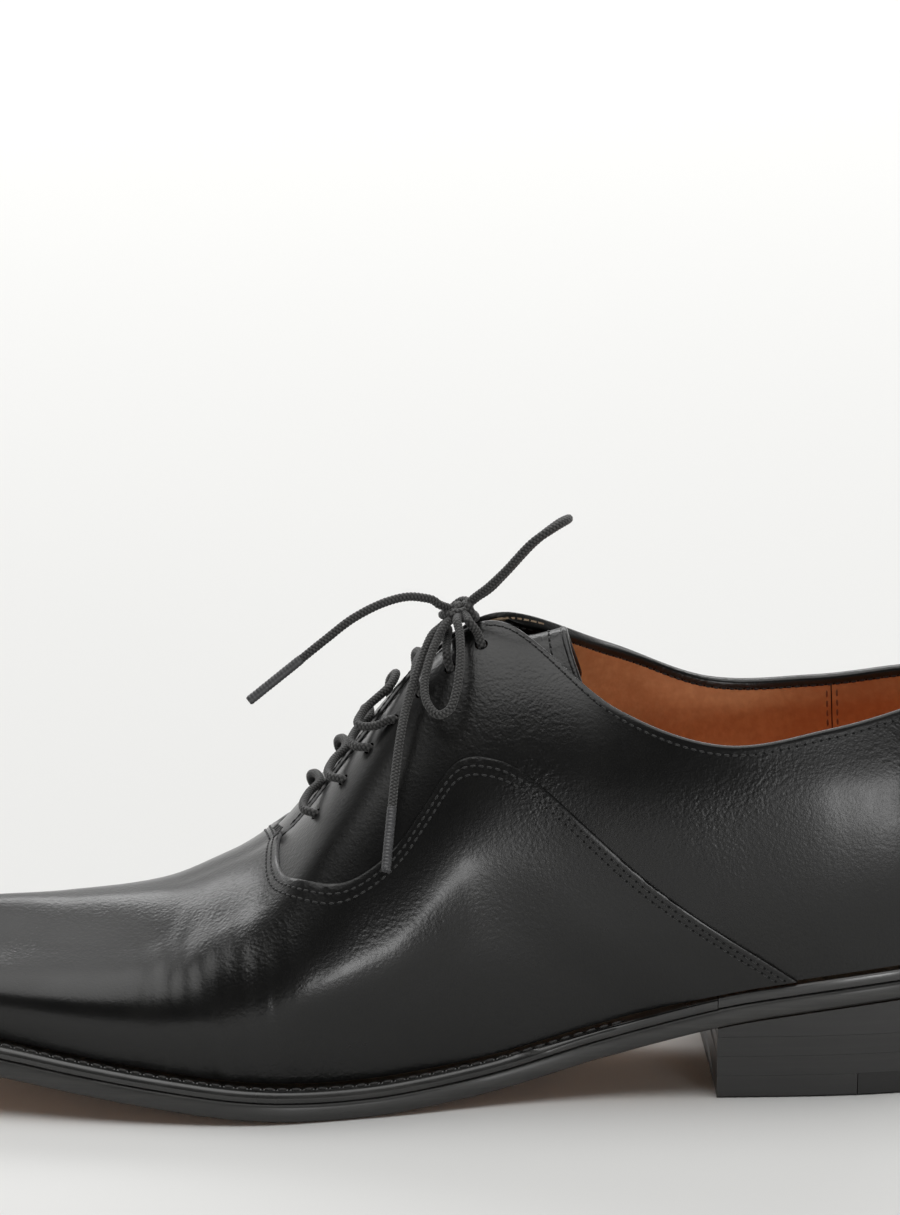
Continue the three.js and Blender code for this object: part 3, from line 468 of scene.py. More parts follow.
shape = {
    "medialShare": [1, 1, 1, 0.98, 0.93, 0.82, 0.76, 0.78, 0.89, 1.0, 1.05, 1.03, 1.0, 1],
    "medialRise": [0, -0.6, -0.6, 1.1, 4.5, 7.3, 0.8, 0, 0, 0, 0, 0, 0, 0],
    "bulgeHeight": [0.4, 0.4, 0.38, 0.36, 0.34, 0.33, 0.33, 0.33, 0.34, 0.36, 0.38, 0.4, 0.42, 0.45],
    "shoulderHeight": [0.72, 0.72, 0.72, 0.72, 0.72, 0.72, 0.74, 0.78, 0.81, 0.74, 0.68, 0.66, 0.68, 0.74],
    "bulgeLean": [0, 0.36, 0.36, 0.36, 0.36, 0.36, 0.36, 0.36, 0.36, 0.34, 0.26, 0.14, 0, 0],
    "shoulderLean": [0, 0.76, 0.76, 0.76, 0.76, 0.76, 0.76, 0.76, 0.76, 0.74, 0.68, 0.58, 0.42, 0],
    "roundCrest": [0, 0, 0, 0, 0, 0.2, 0.6, 1, 1, 1, 1, 1, 1, 1],
    "facingEase": 0.35,
    "heelBreast": 17.5,
    "toeSpring": 16.5,
}
undersidePoints = [
    (0, 1.48, 0), (25, 1.36, 0), (50, 1.2, 0), (72, 1, 0), (100, 0.59, 0), (125, 0.22, 0), (148, 0.04, 0),
    (165, 0, 0), (185, 0, 0.06), (205, 0, 0.21), (225, 0, 0.39), (243, 0, 0.57), (270, 0, 0.82), (296, 0, 1),
]
size = {
    "gap": 0.3, "upper": 1.2, "vampLap": 1.05, "lining": 0.95, "stay": 0.5, "counter": 1.1, "puff": 1.0,
    "tongue": 1.1, "tongueLining": 0.8, "standout": 20, "strip": 0.9, "stripWidth": 15, "underlap": 7,
    "seat": 0.9, "outsole": 4.6, "welt": 2.6, "weltWidth": 5.0, "randWidth": 1.2, "weltInset": 6,
    "insole": 3.0, "sock": 0.8, "sockLength": 74, "topPiece": 5.6, "lift": 4.6, "quarterTip": 34,
    "heelLength": 68, "heelTaper": 0.9, "eyelet": 3.2, "lace": 2.2, "aglet": 2.5, "agletLength": 15.5,
}


def spline(x, xs, ys):
    xs, ys = np.asarray(xs, float), np.asarray(ys, float)
    x = np.asarray(x, float)
    last = len(xs) - 1
    ends = np.arange(len(xs))
    before, after = np.maximum(ends - 1, 0), np.minimum(ends + 1, last)
    slope = (ys[after] - ys[before]) / (xs[after] - xs[before])
    i = np.clip(np.searchsorted(xs, x, side="left") - 1, 0, last - 1)
    step = xs[i + 1] - xs[i]
    u = np.clip((x - xs[i]) / step, 0, 1)
    v = 1 - u
    return (v * v * (1 + 2 * u) * ys[i] + u * u * (1 + 2 * v) * ys[i + 1]
            + step * u * v * (v * slope[i] - u * slope[i + 1]))


def between(values, t, odd=False):
    sign = -1 if odd else 1
    padded = np.array([sign * values[1], *values, sign * values[-2]], float)
    i = np.clip(np.floor(t).astype(int), 0, lastStation - 1)
    u = t - i
    a, b, c, d = padded[i], padded[i + 1], padded[i + 2], padded[i + 3]
    bend = (2 * a - 5 * b + 4 * c - d) * u * u + (3 * b - a - 3 * c + d) * u ** 3
    return 0.5 * (2 * b + (c - a) * u + bend)


def smoothStep(x):
    x = np.clip(x, 0, 1)
    return x * x * (3 - 2 * x)


def underside(s):
    heights = [heel * shape["heelBreast"] + toe * shape["toeSpring"] for _, heel, toe in undersidePoints]
    return spline(s, [p[0] for p in undersidePoints], heights)


def weltBottom(s):
    return underside(s) + size["outsole"] + size["gap"]


def featherHeight(s):
    return weltBottom(s) + size["welt"]


featherS = np.array([p[0][0] for p in stations], float)
featherY = [p[0][1] for p in stations]
bulgeY = [p[1] for p in stations]
shoulderY = [p[2] for p in stations]
topS = np.array([p[3][0] for p in stations], float)
topY = [p[3][1] for p in stations]
topRise = [p[3][2] for p in stations]


def leaning(share, back, front):
    leant = featherS + (topS - featherS) * np.array(share)
    leant[0], leant[-1] = featherS[0] + back, featherS[-1] + front
    return leant


bulgeS = leaning(shape["bulgeLean"], -5, 3)
shoulderS = leaning(shape["shoulderLean"], -2.5, -8)


def upperPoint(t, h, side):  # outer face: t from heel to toe, h from feather line to top
    t, h = np.broadcast_arrays(np.asarray(t, float), np.asarray(h, float))
    breadth = between(shape["medialShare"], t) if side < 0 else 1.0
    lowS = between(featherS, t)
    z0 = featherHeight(lowS) + size["seat"]
    reach = between(topRise, t) + (between(shape["medialRise"], t) if side < 0 else 0)
    crest = np.maximum(0, between(topY, t, True) - shape["facingEase"] * np.minimum(1, t))
    rows = [
        (lowS, between(featherY, t, True) * breadth, z0),
        (between(bulgeS, t), between(bulgeY, t, True) * breadth, z0 + reach * between(shape["bulgeHeight"], t)),
        (between(shoulderS, t), between(shoulderY, t, True) * breadth,
         z0 + reach * between(shape["shoulderHeight"], t)),
        (between(topS, t), crest * breadth, z0 + reach),
    ]
    rows = np.array([np.stack(row, axis=-1) for row in rows])
    ridge = np.clip(between(shape["roundCrest"], t), 0, 1)
    start = (rows[1] - rows[0]) * (1, 1.6, 0.9)
    low = (rows[2] - rows[0]) * 0.5
    high = (rows[3] - rows[1]) * 0.5
    end = (rows[3] - rows[2]) * np.stack([1 + 0.15 * ridge, 1 + 0.15 * ridge, 1 - ridge], axis=-1)
    slopes = np.array([start, low, high, end])
    i = np.minimum(2, np.floor(h * 3)).astype(int)
    u = (h * 3 - i)[..., None]
    v = 1 - u

    def pick(table, k):
        return np.take_along_axis(table, k[None, ..., None], axis=0)[0]

    point = (pick(rows, i) * v * v * (1 + 2 * u) + pick(rows, i + 1) * u * u * (1 + 2 * v)
             + pick(slopes, i) * v * v * u - pick(slopes, i + 1) * u * u * v)
    point[..., 1] *= side
    return point


def upperNormal(t, h, side):
    step = 0.004
    t, h = np.broadcast_arrays(np.asarray(t, float), np.asarray(h, float))
    t = np.where((t > lastStation - 0.01) & (h > 0.999), lastStation - 0.01, t)
    forward = (upperPoint(np.minimum(lastStation, t + step), h, side)
               - upperPoint(np.maximum(0, t - step), h, side))
    up = upperPoint(t, np.minimum(1, h + step), side) - upperPoint(t, np.maximum(0, h - step), side)
    normal = np.cross(up, forward) * side
    flat = np.abs(upperPoint(t, h, side)[..., 1]) < 1e-6
    normal[..., 1] = np.where(flat, 0, normal[..., 1])
    return unit(normal)


def over(t, h, side, height):
    return upperPoint(t, h, side) + upperNormal(t, h, side) * np.asarray(height, float)[..., None]


# Seams and depths, in millimetres on the flattened side.
stationPitch, ribLength = 24, 80
throat = 8.8
heelLiningEnd = 2.8
vampEdgePoints = [
    (3.2, -0.12), (3.45, 0), (3.81, 0.155), (4.16, 0.288), (4.51, 0.405), (5.12, 0.555), (5.6, 0.618),
    (6.1, 0.643), (6.5, 0.638), (6.85, 0.575), (7.15, 0.525), (7.6, 0.512), (8.0, 0.55), (8.4, 0.635),
    (8.76, 0.78), (8.98, 1.0), (9.06, 1.12),
]
vampEdge = smoothCurve(np.array(vampEdgePoints) * (stationPitch, ribLength), 12)
eyelets = [
    (8.39, 0.85), (8.03, 0.845), (7.7, 0.848), (7.39, 0.848), (7.04, 0.852), (6.66, 0.868), (6.26, 0.905),
]


def pastVampEdge(t, h, side=1):
    p = np.stack([t * stationPitch, h * ribLength], axis=-1)
    a, run = vampEdge[:-1], np.diff(vampEdge, axis=0)
    off = p[:, None, :] - a[None]
    u = np.clip((off * run).sum(-1) / (run ** 2).sum(-1), 0, 1)
    off = off - run * u[..., None]
    distance = np.linalg.norm(off, axis=-1)
    nearest = distance.argmin(1)
    picked = off[np.arange(len(p)), nearest]
    turn = run[nearest][:, 0] * picked[:, 1] - run[nearest][:, 1] * picked[:, 0]
    return np.where(turn < 0, 1, -1) * distance.min(1)


def inCounter(t, h, side=1):
    return np.minimum((3.9 - t) * stationPitch, (0.66 - h) * ribLength)


def inPuff(t, h, side=1):
    return (t - 10.7) * stationPitch


def inStay(t, h, side=1):
    ahead, behind = (throat - 0.15 - t) * stationPitch, (t - 5.6) * stationPitch
    return np.minimum(np.minimum((h - 0.78) * ribLength, behind), ahead)


def liningSeam(t, h, side=1):
    return (t - 7.4 - 1.55 * h) * stationPitch


def vampLapFade(t, h):
    return 1 - smoothStep((pastVampEdge(t, h) - size["underlap"] - 6) / 14)


def vampDepth(t, h, side):
    return -size["vampLap"] * vampLapFade(t, h)


def vampThickness(t, h):  # skived thinner where it laps over the quarters
    return size["upper"] - (size["upper"] - size["vampLap"] + 0.12) * vampLapFade(t, h)


stiffenerDepth = size["upper"] + size["gap"]


def liningDepth(t, h, side=1):
    stiffeners = (("counter", inCounter), ("puff", inPuff), ("stay", inStay))
    return stiffenerDepth + np.maximum.reduce([
        (size[name] + size["gap"]) * smoothStep((reach(t, h) + 28) / 14) for name, reach in stiffeners])


def belowTop(t, h, side):
    return np.linalg.norm(upperPoint(t, h, side) - upperPoint(t, np.ones_like(h), side), axis=-1)


def rounded(distance, radius):  # how far a face falls away at a rounded edge
    inside = np.clip(radius - distance, 0, radius)
    return radius - np.sqrt(radius ** 2 - inside ** 2)


# Sheets cut from the last's surface.
fineness = {"column": 0.07, "row": 0.0275}


def flatGrid(side, tRange=(0, lastStation), hRange=(0, 1)):
    ts = np.linspace(*tRange, max(2, int(round((tRange[1] - tRange[0]) / fineness["column"]))) + 1)
    hs = np.linspace(*hRange, max(2, int(round((hRange[1] - hRange[0]) / fineness["row"]))) + 1)
    t, h = np.meshgrid(ts, hs, indexing="ij")
    n = len(hs)
    cells = [[i * n + j, (i + 1) * n + j, (i + 1) * n + j + 1, i * n + j + 1]
             for i in range(len(ts) - 1) for j in range(n - 1)]
    return {"side": side, "t": t.ravel(), "h": h.ravel(), "cells": cells}


def cutGrid(grid, distance, level=0.0, keep=False):  # splits cells along a line; keep drops what lies below
    value = distance(grid["t"], grid["h"], grid["side"]) - level
    value = np.where(np.abs(value) < 0.05, 0, value).tolist()
    t, h = grid["t"].tolist(), grid["h"].tolist()
    made, cells = {}, []
    for cell in grid["cells"]:
        inside = [value[k] for k in cell]
        if min(inside) >= 0:
            cells.append(cell)
        elif max(inside) <= 0:
            if not keep:
                cells.append(cell)
        else:
            above, below = [], []
            for a, b in zip(cell, cell[1:] + cell[:1]):
                if value[a] >= 0:
                    above.append(a)
                if value[a] <= 0:
                    below.append(a)
                if value[a] * value[b] < 0:
                    key = (min(a, b), max(a, b))
                    if key not in made:
                        u = value[a] / (value[a] - value[b])
                        t.append(t[a] + (t[b] - t[a]) * u)
                        h.append(h[a] + (h[b] - h[a]) * u)
                        made[key] = len(t) - 1
                    above.append(made[key])
                    below.append(made[key])
            if len(above) > 2:
                cells.append(above)
            if len(below) > 2 and not keep:
                cells.append(below)
    return {"side": grid["side"], "t": np.array(t), "h": np.array(h), "cells": cells}


def scored(grid, distance, levels):  # the same grid, with edges along these lines
    for level in levels:
        grid = cutGrid(grid, distance, level)
    return grid


def shell(grids, depth, thickness, meets=False):  # closed solid between an outer and an inner face
    points, faces, found, walls = [], [], {}, {}
    for grid in grids:
        t, h, side = grid["t"], grid["h"], grid["side"]
        at, normal = upperPoint(t, h, side), upperNormal(t, h, side)
        down = depth(t, h, side) if callable(depth) else np.full_like(t, depth)
        thick = thickness(t, h, side) if callable(thickness) else np.full_like(t, thickness)
        outer, inner = at - normal * down[:, None], at - normal * (down + thick)[:, None]
        if not meets:
            for face in (outer, inner):
                face[:, 1] = side * np.maximum(size["gap"] / 2, side * face[:, 1])
        keys = [tuple(key) for key in np.round(outer * 200).astype(int).tolist()]
        index = {}
        for cell in grid["cells"]:
            corners = []
            for k in cell:
                if k not in index:
                    if keys[k] not in found:
                        found[keys[k]] = len(points) // 2
                        points.extend([outer[k], inner[k]])
                    index[k] = found[keys[k]]
                if not corners or corners[-1] != index[k]:
                    corners.append(index[k])
            if corners[0] == corners[-1]:
                corners.pop()
            if len(corners) < 3:
                continue
            faces.append([2 * k for k in corners])
            faces.append([2 * k + 1 for k in reversed(corners)])
            for a, b in zip(corners, corners[1:] + corners[:1]):
                key = (min(a, b), max(a, b))
                walls[key] = walls.get(key, 0) + 1
    for (a, b), count in walls.items():
        if count == 1:
            faces.append([2 * a, 2 * b, 2 * b + 1, 2 * a + 1])
    return np.array(points), faces


def punch(piece, side):  # eyelet holes
    work = bmesh.new()
    radius = size["eyelet"] / 2000
    for t, h in eyelets:
        hole = bmesh.ops.create_cone(work, cap_ends=True, segments=24, radius1=radius, radius2=radius,
                                     depth=0.010)["verts"]
        turn = Vector(upperNormal(t, h, side)).to_track_quat("Z", "Y")
        spot = Vector(place(upperPoint(t, h, side)))
        for vert in hole:
            vert.co = turn @ vert.co + spot
    mesh = bpy.data.meshes.new("drill")
    work.to_mesh(mesh)
    work.free()
    drill = bpy.data.objects.new("drill", mesh)
    bpy.context.scene.collection.objects.link(drill)
    cut = piece.modifiers.new("eyelets", "BOOLEAN")
    cut.object, cut.operation, cut.solver = drill, "DIFFERENCE", "EXACT"
    bpy.context.view_layer.update()
    punched = bpy.data.meshes.new_from_object(piece.evaluated_get(bpy.context.evaluated_depsgraph_get()))
    piece.modifiers.clear()
    piece.data = punched
    bpy.data.objects.remove(drill)


# The topline's turned edge, which fades into the facings.
fold = {"height": 2.0, "start": 6.15, "end": 5.75, "radius": 0.8}


def folded(t):
    return smoothStep((fold["start"] - t) / (fold["start"] - fold["end"]))


def quarterDepth(t, h, side):
    return rounded(belowTop(t, h, side), 0.35 + (fold["radius"] - 0.35) * folded(t))


def quarterThickness(t, h, side):
    top = belowTop(t, h, side)
    full = liningDepth(t, h) + size["lining"] + 0.12
    thick = size["upper"] + (full - size["upper"]) * folded(t) * smoothStep((fold["height"] + 0.15 - top) / 0.3)
    return thick - quarterDepth(t, h, side) - rounded(top, 0.8) * folded(t)


vampEdgeRadius = 0.45


def vampRounding(t, h):
    return rounded(pastVampEdge(t, h), vampEdgeRadius)


vampGrids = [scored(cutGrid(flatGrid(side, (3.2, lastStation)), pastVampEdge, keep=True), pastVampEdge,
                    (0.15, 0.45, 1.2)) for side in (1, -1)]
points, faces = shell(vampGrids, lambda t, h, side: vampDepth(t, h, side) + vampRounding(t, h),
                      lambda t, h, side: vampThickness(t, h) - vampRounding(t, h), True)
build("vamp_upper", points, faces, finish["vamp"], "calf", replaced=["vamp"])
print("vamp:", len(points), "points")

sideNames = {1: "lateral", -1: "medial"}
facingLining = {"from": 113, "above": 60}  # faces of the quarter lining ahead of and above these, in mm, take the calf finish
for side, name in sideNames.items():
    grid = cutGrid(flatGrid(side, (0, 9.3)), lambda t, h, s: size["underlap"] - pastVampEdge(t, h), keep=True)
    grid = scored(grid, belowTop, (0.12, 0.35, 0.8, 1.85, 2.0, 2.15))
    points, faces = shell([grid], quarterDepth, quarterThickness)
    quarter = build(f"{name}_quarter", points, faces, finish["calf"], "calf", replaced=[f"quarter_{name}"])
    punch(quarter, side)

    grid = cutGrid(flatGrid(side, (5.4, 8.9), (0.7, 1)), inStay, keep=True)
    points, faces = shell([grid], stiffenerDepth, size["stay"])
    stay = build(f"{name}_facing_stay", points, faces, finish["board"], "board",
                 replaced=[f"facing_stay_{name}"])
    punch(stay, side)

    grid = cutGrid(flatGrid(side, (heelLiningEnd + size["gap"] / stationPitch, 9.2)),
                   lambda t, h, s: -size["gap"] / 2 - liningSeam(t, h), keep=True)
    grid = cutGrid(grid, lambda t, h, s: belowTop(t, h, s) - (fold["height"] + 0.25) * folded(t), keep=True)
    points, faces = shell([grid], liningDepth, size["lining"])
    middles = [np.mean([points[k] for k in face], axis=0) for face in faces]
    underFacing = [int(along > facingLining["from"] and up > facingLining["above"]) for along, _, up in middles]
    inside = build(f"{name}_quarter_lining", points, faces, finish["lining"], "lining",
                   replaced=[f"quarter_lining_{name}"], under=finish["calf"], second=underFacing)
    punch(inside, side)
print("quarters, stays and quarter linings")

insidePieces = {
    "vamp_inner_lining": {
        "limit": lambda t, h, s: liningSeam(t, h) - size["gap"] / 2, "range": (7.2, lastStation),
        "depth": liningDepth, "thick": size["lining"], "look": "lining", "node": "vamp_lining"},
    "back_inner_lining": {
        "limit": lambda t, h, s: belowTop(t, h, s) - fold["height"] - 0.25, "range": (0, heelLiningEnd),
        "depth": liningDepth, "thick": size["lining"], "look": "lining", "node": "heel_lining"},
    "puff": {
        "limit": inPuff, "range": (10.6, lastStation),
        "depth": stiffenerDepth, "thick": size["puff"], "look": "board", "node": "toe_puff"},
    "counter": {
        "limit": inCounter, "range": (0, 4),
        "depth": stiffenerDepth, "thick": size["counter"], "look": "board", "node": "heel_counter"},
}
for name, piece in insidePieces.items():
    grids = [cutGrid(flatGrid(side, piece["range"]), piece["limit"], keep=True) for side in sideNames]
    points, faces = shell(grids, piece["depth"], piece["thick"], True)
    build(name, points, faces, finish[piece["look"]], piece["look"], replaced=[piece["node"]])


def stripEdge(t, h, side):
    return size["stripWidth"] / 2 - t * stationPitch


stripGrids = []
for side in sideNames:
    grid = scored(cutGrid(flatGrid(side, (0, 0.35)), stripEdge, keep=True), stripEdge, (0.12, 0.4))
    stripGrids.append(scored(grid, belowTop, (0.15, 0.4)))


def stripDepth(t, h, side):
    edge = np.minimum(stripEdge(t, h, side), belowTop(t, h, side))
    return -size["gap"] - size["strip"] + rounded(edge, 0.4)


points, faces = shell(stripGrids, stripDepth,
                      lambda t, h, side: -stripDepth(t, h, side) - size["gap"] + 0.15, True)
build("backstay", points, faces, finish["calf"], "calf", replaced=["back_strip"])
print("linings, stiffeners and back strip")


# Stitches.
stitchLook = {
    "vampPitch": 2.0, "toplinePitch": 2.0, "weltPitch": 3.2, "liningPitch": 2.6, "tackPitch": 1.6,
    "tonguePitch": 2.1,
    "share": 0.7,  # of the pitch that the thread shows
    "width": 0.56,
    "hole": 0.3,  # radius of the near-black discs painted as the shade in the awl's holes
    "swells": [(-0.5, 0.05), (-0.4, 0.62), (-0.2, 0.95), (0.2, 0.95), (0.4, 0.62), (0.5, 0.05)],
    "sides": 7,
    "holeSides": 8,
}


def steps(curve, normals, pitch, between):  # where stitches lie, or the holes at their ends
    joined = stepAlong(np.hstack([curve, normals]), pitch)
    along = unit(joined[1:, :3] - joined[:-1, :3] if between else np.gradient(joined[:, :3], axis=0))
    joined = (joined[1:] + joined[:-1]) / 2 if between else joined
    up = unit(joined[:, 3:])
    return zip(joined[:, :3], along, np.cross(up, along), up)


def stitches(name, rows, look, pitch, slot, body="shoe", width=stitchLook["width"], hole=stitchLook["hole"]):
    points, faces = [], []  # rows are pairs of a curve and its normals
    sides, holeSides = stitchLook["sides"], stitchLook["holeSides"]
    angles = [2 * math.pi * k / sides for k in range(sides)]
    holeAngles = [2 * math.pi * k / holeSides for k in range(holeSides)]
    for curve, normals in rows:
        for spot, a, c, n in steps(curve, normals, pitch, True):
            faces += tubeFaces(len(stitchLook["swells"]), sides, len(points))
            points += [spot + a * share * pitch * stitchLook["share"]
                       + (c * math.cos(angle) + n * math.sin(angle) * 0.8) * swell * width / 2
                       for share, swell in stitchLook["swells"] for angle in angles]
    threads = len(faces)
    # a sunk near-black disc at each stitch end: painted shade of its awl hole
    for curve, normals in (rows if hole else []):
        for spot, a, c, n in steps(curve, normals, pitch, False):
            faces += tubeFaces(2, holeSides, len(points))
            points += [spot + (a * math.cos(angle) * 1.1 + c * math.sin(angle)) * hole + n * lift
                       for lift in (-0.12, 0.03) for angle in holeAngles]
    second = [0] * threads + [1] * (len(faces) - threads)
    return build(name, np.array(points), faces, look, slot, body, angle=80, under=finish["holeShade"], second=second)


def upperRow(t, h, side, depth, outward=1):
    return over(t, h, side, -np.asarray(depth)), upperNormal(t, h, side) * outward


def offsetVampEdge(distance, low=0.012):
    run = np.gradient(vampEdge, axis=0)
    moved = vampEdge + unit(np.stack([run[:, 1], -run[:, 0]], axis=1)) * distance
    t, h = moved[:, 0] / stationPitch, moved[:, 1] / ribLength
    inside = (h > low) & (h <= 1)
    return t[inside], h[inside]


def edgeRow(side, start, end, count, distance):  # along the top edge, a distance below it
    t = np.linspace(start, end, count)
    perShare = belowTop(t, np.full_like(t, 0.96), side) / 0.04
    return t, 1 - distance / perShare


seamPlaces = {
    "vampRows": (1.5, 2.8), "topline": 2.3, "rim": 2.1, "facing": 2.2, "strip": 1.4,
    "liningSeam": (-1.25, 1.25), "sunk": 0.02,
}
edgeRows, toplineRows, facingRows, stripRows, seamRows, rimRows = [], [], [], [], [], []
for side in sideNames:
    for distance in seamPlaces["vampRows"]:
        t, h = offsetVampEdge(distance)
        edgeRows.append(upperRow(t, h, side, vampDepth(t, h, side) - seamPlaces["sunk"]))
    t, h = edgeRow(side, 0.34, 6.2, 240, seamPlaces["topline"])
    toplineRows.append(upperRow(t, h, side, np.full_like(t, -seamPlaces["sunk"])))
    t, h = edgeRow(side, 0.34, 6.2, 240, seamPlaces["rim"])
    rimRows.append(upperRow(t, h, side, liningDepth(t, h) + size["lining"], -1))
    t, h = edgeRow(side, 6.3, 8.84, 160, seamPlaces["facing"])
    facingRows.append(upperRow(t, h, side, np.full_like(t, -seamPlaces["sunk"])))
    h = np.linspace(0.02, 0.965, 90)
    t = np.full_like(h, (size["stripWidth"] / 2 - seamPlaces["strip"]) / stationPitch)
    stripRows.append(upperRow(t, h, side, np.full_like(t, -size["gap"] - size["strip"])))
    h = np.linspace(0.12, 0.94, 90)
    for step in seamPlaces["liningSeam"]:
        t = np.full_like(h, heelLiningEnd + step / stationPitch)
        seamRows.append(upperRow(t, h, side, liningDepth(t, h) + size["lining"], -1))
threads = {
    "vamp_edge_stitches": (edgeRows, "vampPitch"),
    "topline_stitches": (toplineRows + facingRows, "toplinePitch"),
    "back_strip_stitches": (stripRows, "toplinePitch"),
}
for name, (rows, pitch) in threads.items():
    stitches(name, rows, finish["thread"], stitchLook[pitch], "lace_cotton")
stitches("lining_seam_stitches", seamRows, finish["tanThread"], stitchLook["liningPitch"], "lining", hole=0)
stitches("lining_rim_stitches", rimRows, finish["thread"], stitchLook["toplinePitch"], "lining")

barTack = []
for k in range(5):
    t, h = np.array([8.93 + 0.012 * k] * 12), np.linspace(0.955, 1, 12)
    crossing = [np.vstack([face(t, h, 1), face(t, h, -1)[::-1]])
                for face in (lambda t, h, side: over(t, h, side, 1.62), upperNormal)]
    barTack.append(tuple(crossing))
stitches("throat_bar_tack", barTack, finish["thread"], stitchLook["tackPitch"], "lace_cotton")
print("stitches")

# Tongue.
tongue = {
    "top": 6.35, "base": 9.2,  # stations where it leaves the facings and where it is sewn in
    "side": 0.70, "taper": 0.1, "taperStart": 7.6,  # height of its side edges, drawn in towards the base
    "run": (-1, 0, 0.2), "clearance": 0.6,
    "corner": 0.16, "flare": 0.42, "narrowing": 0.16, "dip": 1.2, "rounding": 130,  # shape of the free end
    "bead": 1.05, "beadRows": 18, "liningTrim": 1.6,
}
tongueDepth = stiffenerDepth + size["stay"] + size["gap"] + size["lining"] + tongue["clearance"]


def tongueFace(depth, trim=0.0):  # rows from the base to the free end, each from edge to edge
    rows = []
    for t in np.linspace(tongue["base"], tongue["top"], 44):
        side = tongue["side"] + tongue["taper"] * float(smoothStep(t - tongue["taperStart"]))
        h = np.linspace(side, 0.93, 4)
        lateral, medial = over(t, h, 1, -depth), over(t, h, -1, -depth)
        centre = (over(t, 1, 1, -depth) + over(t, 1, -1, -depth)) / 2
        rows.append(smoothCurve(np.vstack([lateral, centre, medial[::-1]]), 7))
    run, last = np.array(tongue["run"]), rows[-1]
    width = np.abs(np.linspace(-1, 1, len(last)))
    arched = last.copy()
    for _ in range(tongue["rounding"]):  # the free end is rounder than the ridge that it comes out from
        arched[1:-1] = (arched[:-2] + 2 * arched[1:-1] + arched[2:]) / 4
    for out in np.linspace(0, 1, 22)[1:]:
        corner = tongue["corner"] * out * (1 - np.sqrt(1 - width ** 8))
        reach = (size["standout"] - trim) * out * (1 + tongue["flare"] * width ** 2 - corner)
        bow = np.array([0, 0, -1]) * (tongue["dip"] * math.sin(math.pi * out))
        narrowed = (last + (arched - last) * out) * (1, 1 - tongue["narrowing"] * out, 1)
        rows.append(narrowed + run * reach[:, None] + bow)
    return np.array(rows)


def lofted(outer, inner):  # closed solid between two grids of the same size
    rows, count = outer.shape[:2]
    points = np.concatenate([outer.reshape(-1, 3), inner.reshape(-1, 3)])

    def spot(face, i, j):
        return face * rows * count + i * count + j

    faces = []
    for i in range(rows - 1):
        for j in range(count - 1):
            faces.append([spot(0, i, j), spot(0, i + 1, j), spot(0, i + 1, j + 1), spot(0, i, j + 1)])
            faces.append([spot(1, i, j), spot(1, i, j + 1), spot(1, i + 1, j + 1), spot(1, i + 1, j)])
    faces += [[spot(0, i, j), spot(0, i + 1, j), spot(1, i + 1, j), spot(1, i, j)]
              for i in range(rows - 1) for j in (0, count - 1)]
    faces += [[spot(0, i, j), spot(0, i, j + 1), spot(1, i, j + 1), spot(1, i, j)]
              for j in range(count - 1) for i in (0, rows - 1)]
    return points, faces


tongueOuter = tongueFace(tongueDepth)
tongueInner = tongueFace(tongueDepth + size["tongue"])
liningStart = tongueDepth + size["tongue"] + size["gap"] / 2
deepest = tongueFace(liningStart + size["tongueLining"])
points, faces = lofted(tongueOuter, tongueInner)
build("tongue_flap", points, faces, finish["calf"], "calf", "tongue", replaced=["tongue"])
points, faces = lofted(tongueFace(liningStart, tongue["liningTrim"]),
                       tongueFace(liningStart + size["tongueLining"], tongue["liningTrim"]))
build("tongue_back", points, faces, finish["lining"], "lining", "tongue", replaced=["tongue_lining"])
middle = (tongueOuter[-tongue["beadRows"]:] + deepest[-tongue["beadRows"]:]) / 2
edge = np.vstack([middle[:-1, 0], middle[-1], middle[:-1, -1][::-1]])
points, faces = sweep(stepAlong(smoothCurve(edge[::2], 4), 0.6), tongue["bead"], 14)
build("tongue_bead", points, faces, finish["calf"], "calf", "tongue")
row = tongueOuter[-4] * 0.5 + tongueOuter[-5] * 0.5
up = unit(np.cross(tongueOuter[-4] - tongueOuter[-6], np.gradient(row, axis=0)))
up = up * np.sign(up[:, 2:3].mean())
tongueRow = (row[2:-2] + up[2:-2] * 0.05, up[2:-2])
stitches("tongue_stitches", [tongueRow], finish["thread"], stitchLook["tonguePitch"], "lace_cotton", "tongue")
print("tongue")


# Welt, sole and heel.
def outline(t, side, out):  # seen from above, a distance out from the feather line
    t = np.asarray(t, float)

    def at(u):
        y = side * between(featherY, u, True) * (between(shape["medialShare"], u) if side < 0 else 1)
        return np.stack([between(featherS, u), y], axis=-1)

    run = unit(at(np.minimum(lastStation, t + 0.01)) - at(np.maximum(0, t - 0.01)))
    spot = at(t) + np.stack([-side * run[..., 1], side * run[..., 0]], axis=-1) * np.asarray(out)[..., None]
    spot[..., 1] = np.where((t <= 0) | (t >= lastStation), 0, spot[..., 1])
    return spot


def stationAt(s):
    fine = np.linspace(0, lastStation, 4001)
    return float(np.interp(s, between(featherS, fine), fine))


weltSwell = [(0, 0), (60, 0), (85, 0.26), (110, 0.47), (150, 0.95), (300, 1)]


def soleEdge(t):
    share = spline(between(featherS, t), [p[0] for p in weltSwell], [p[1] for p in weltSwell])
    return size["randWidth"] + (size["weltWidth"] - size["randWidth"]) * share


def section(t, side, profile, low, high):  # profile points (out, share of the height, rise in mm)
    out, share, extra = np.array(profile(t)).T
    spot = outline(np.full_like(out, t), side, out)
    bottom, top = low(spot[:, 0]), high(spot[:, 0])
    return np.column_stack([spot, bottom + (top - bottom) * share + extra])


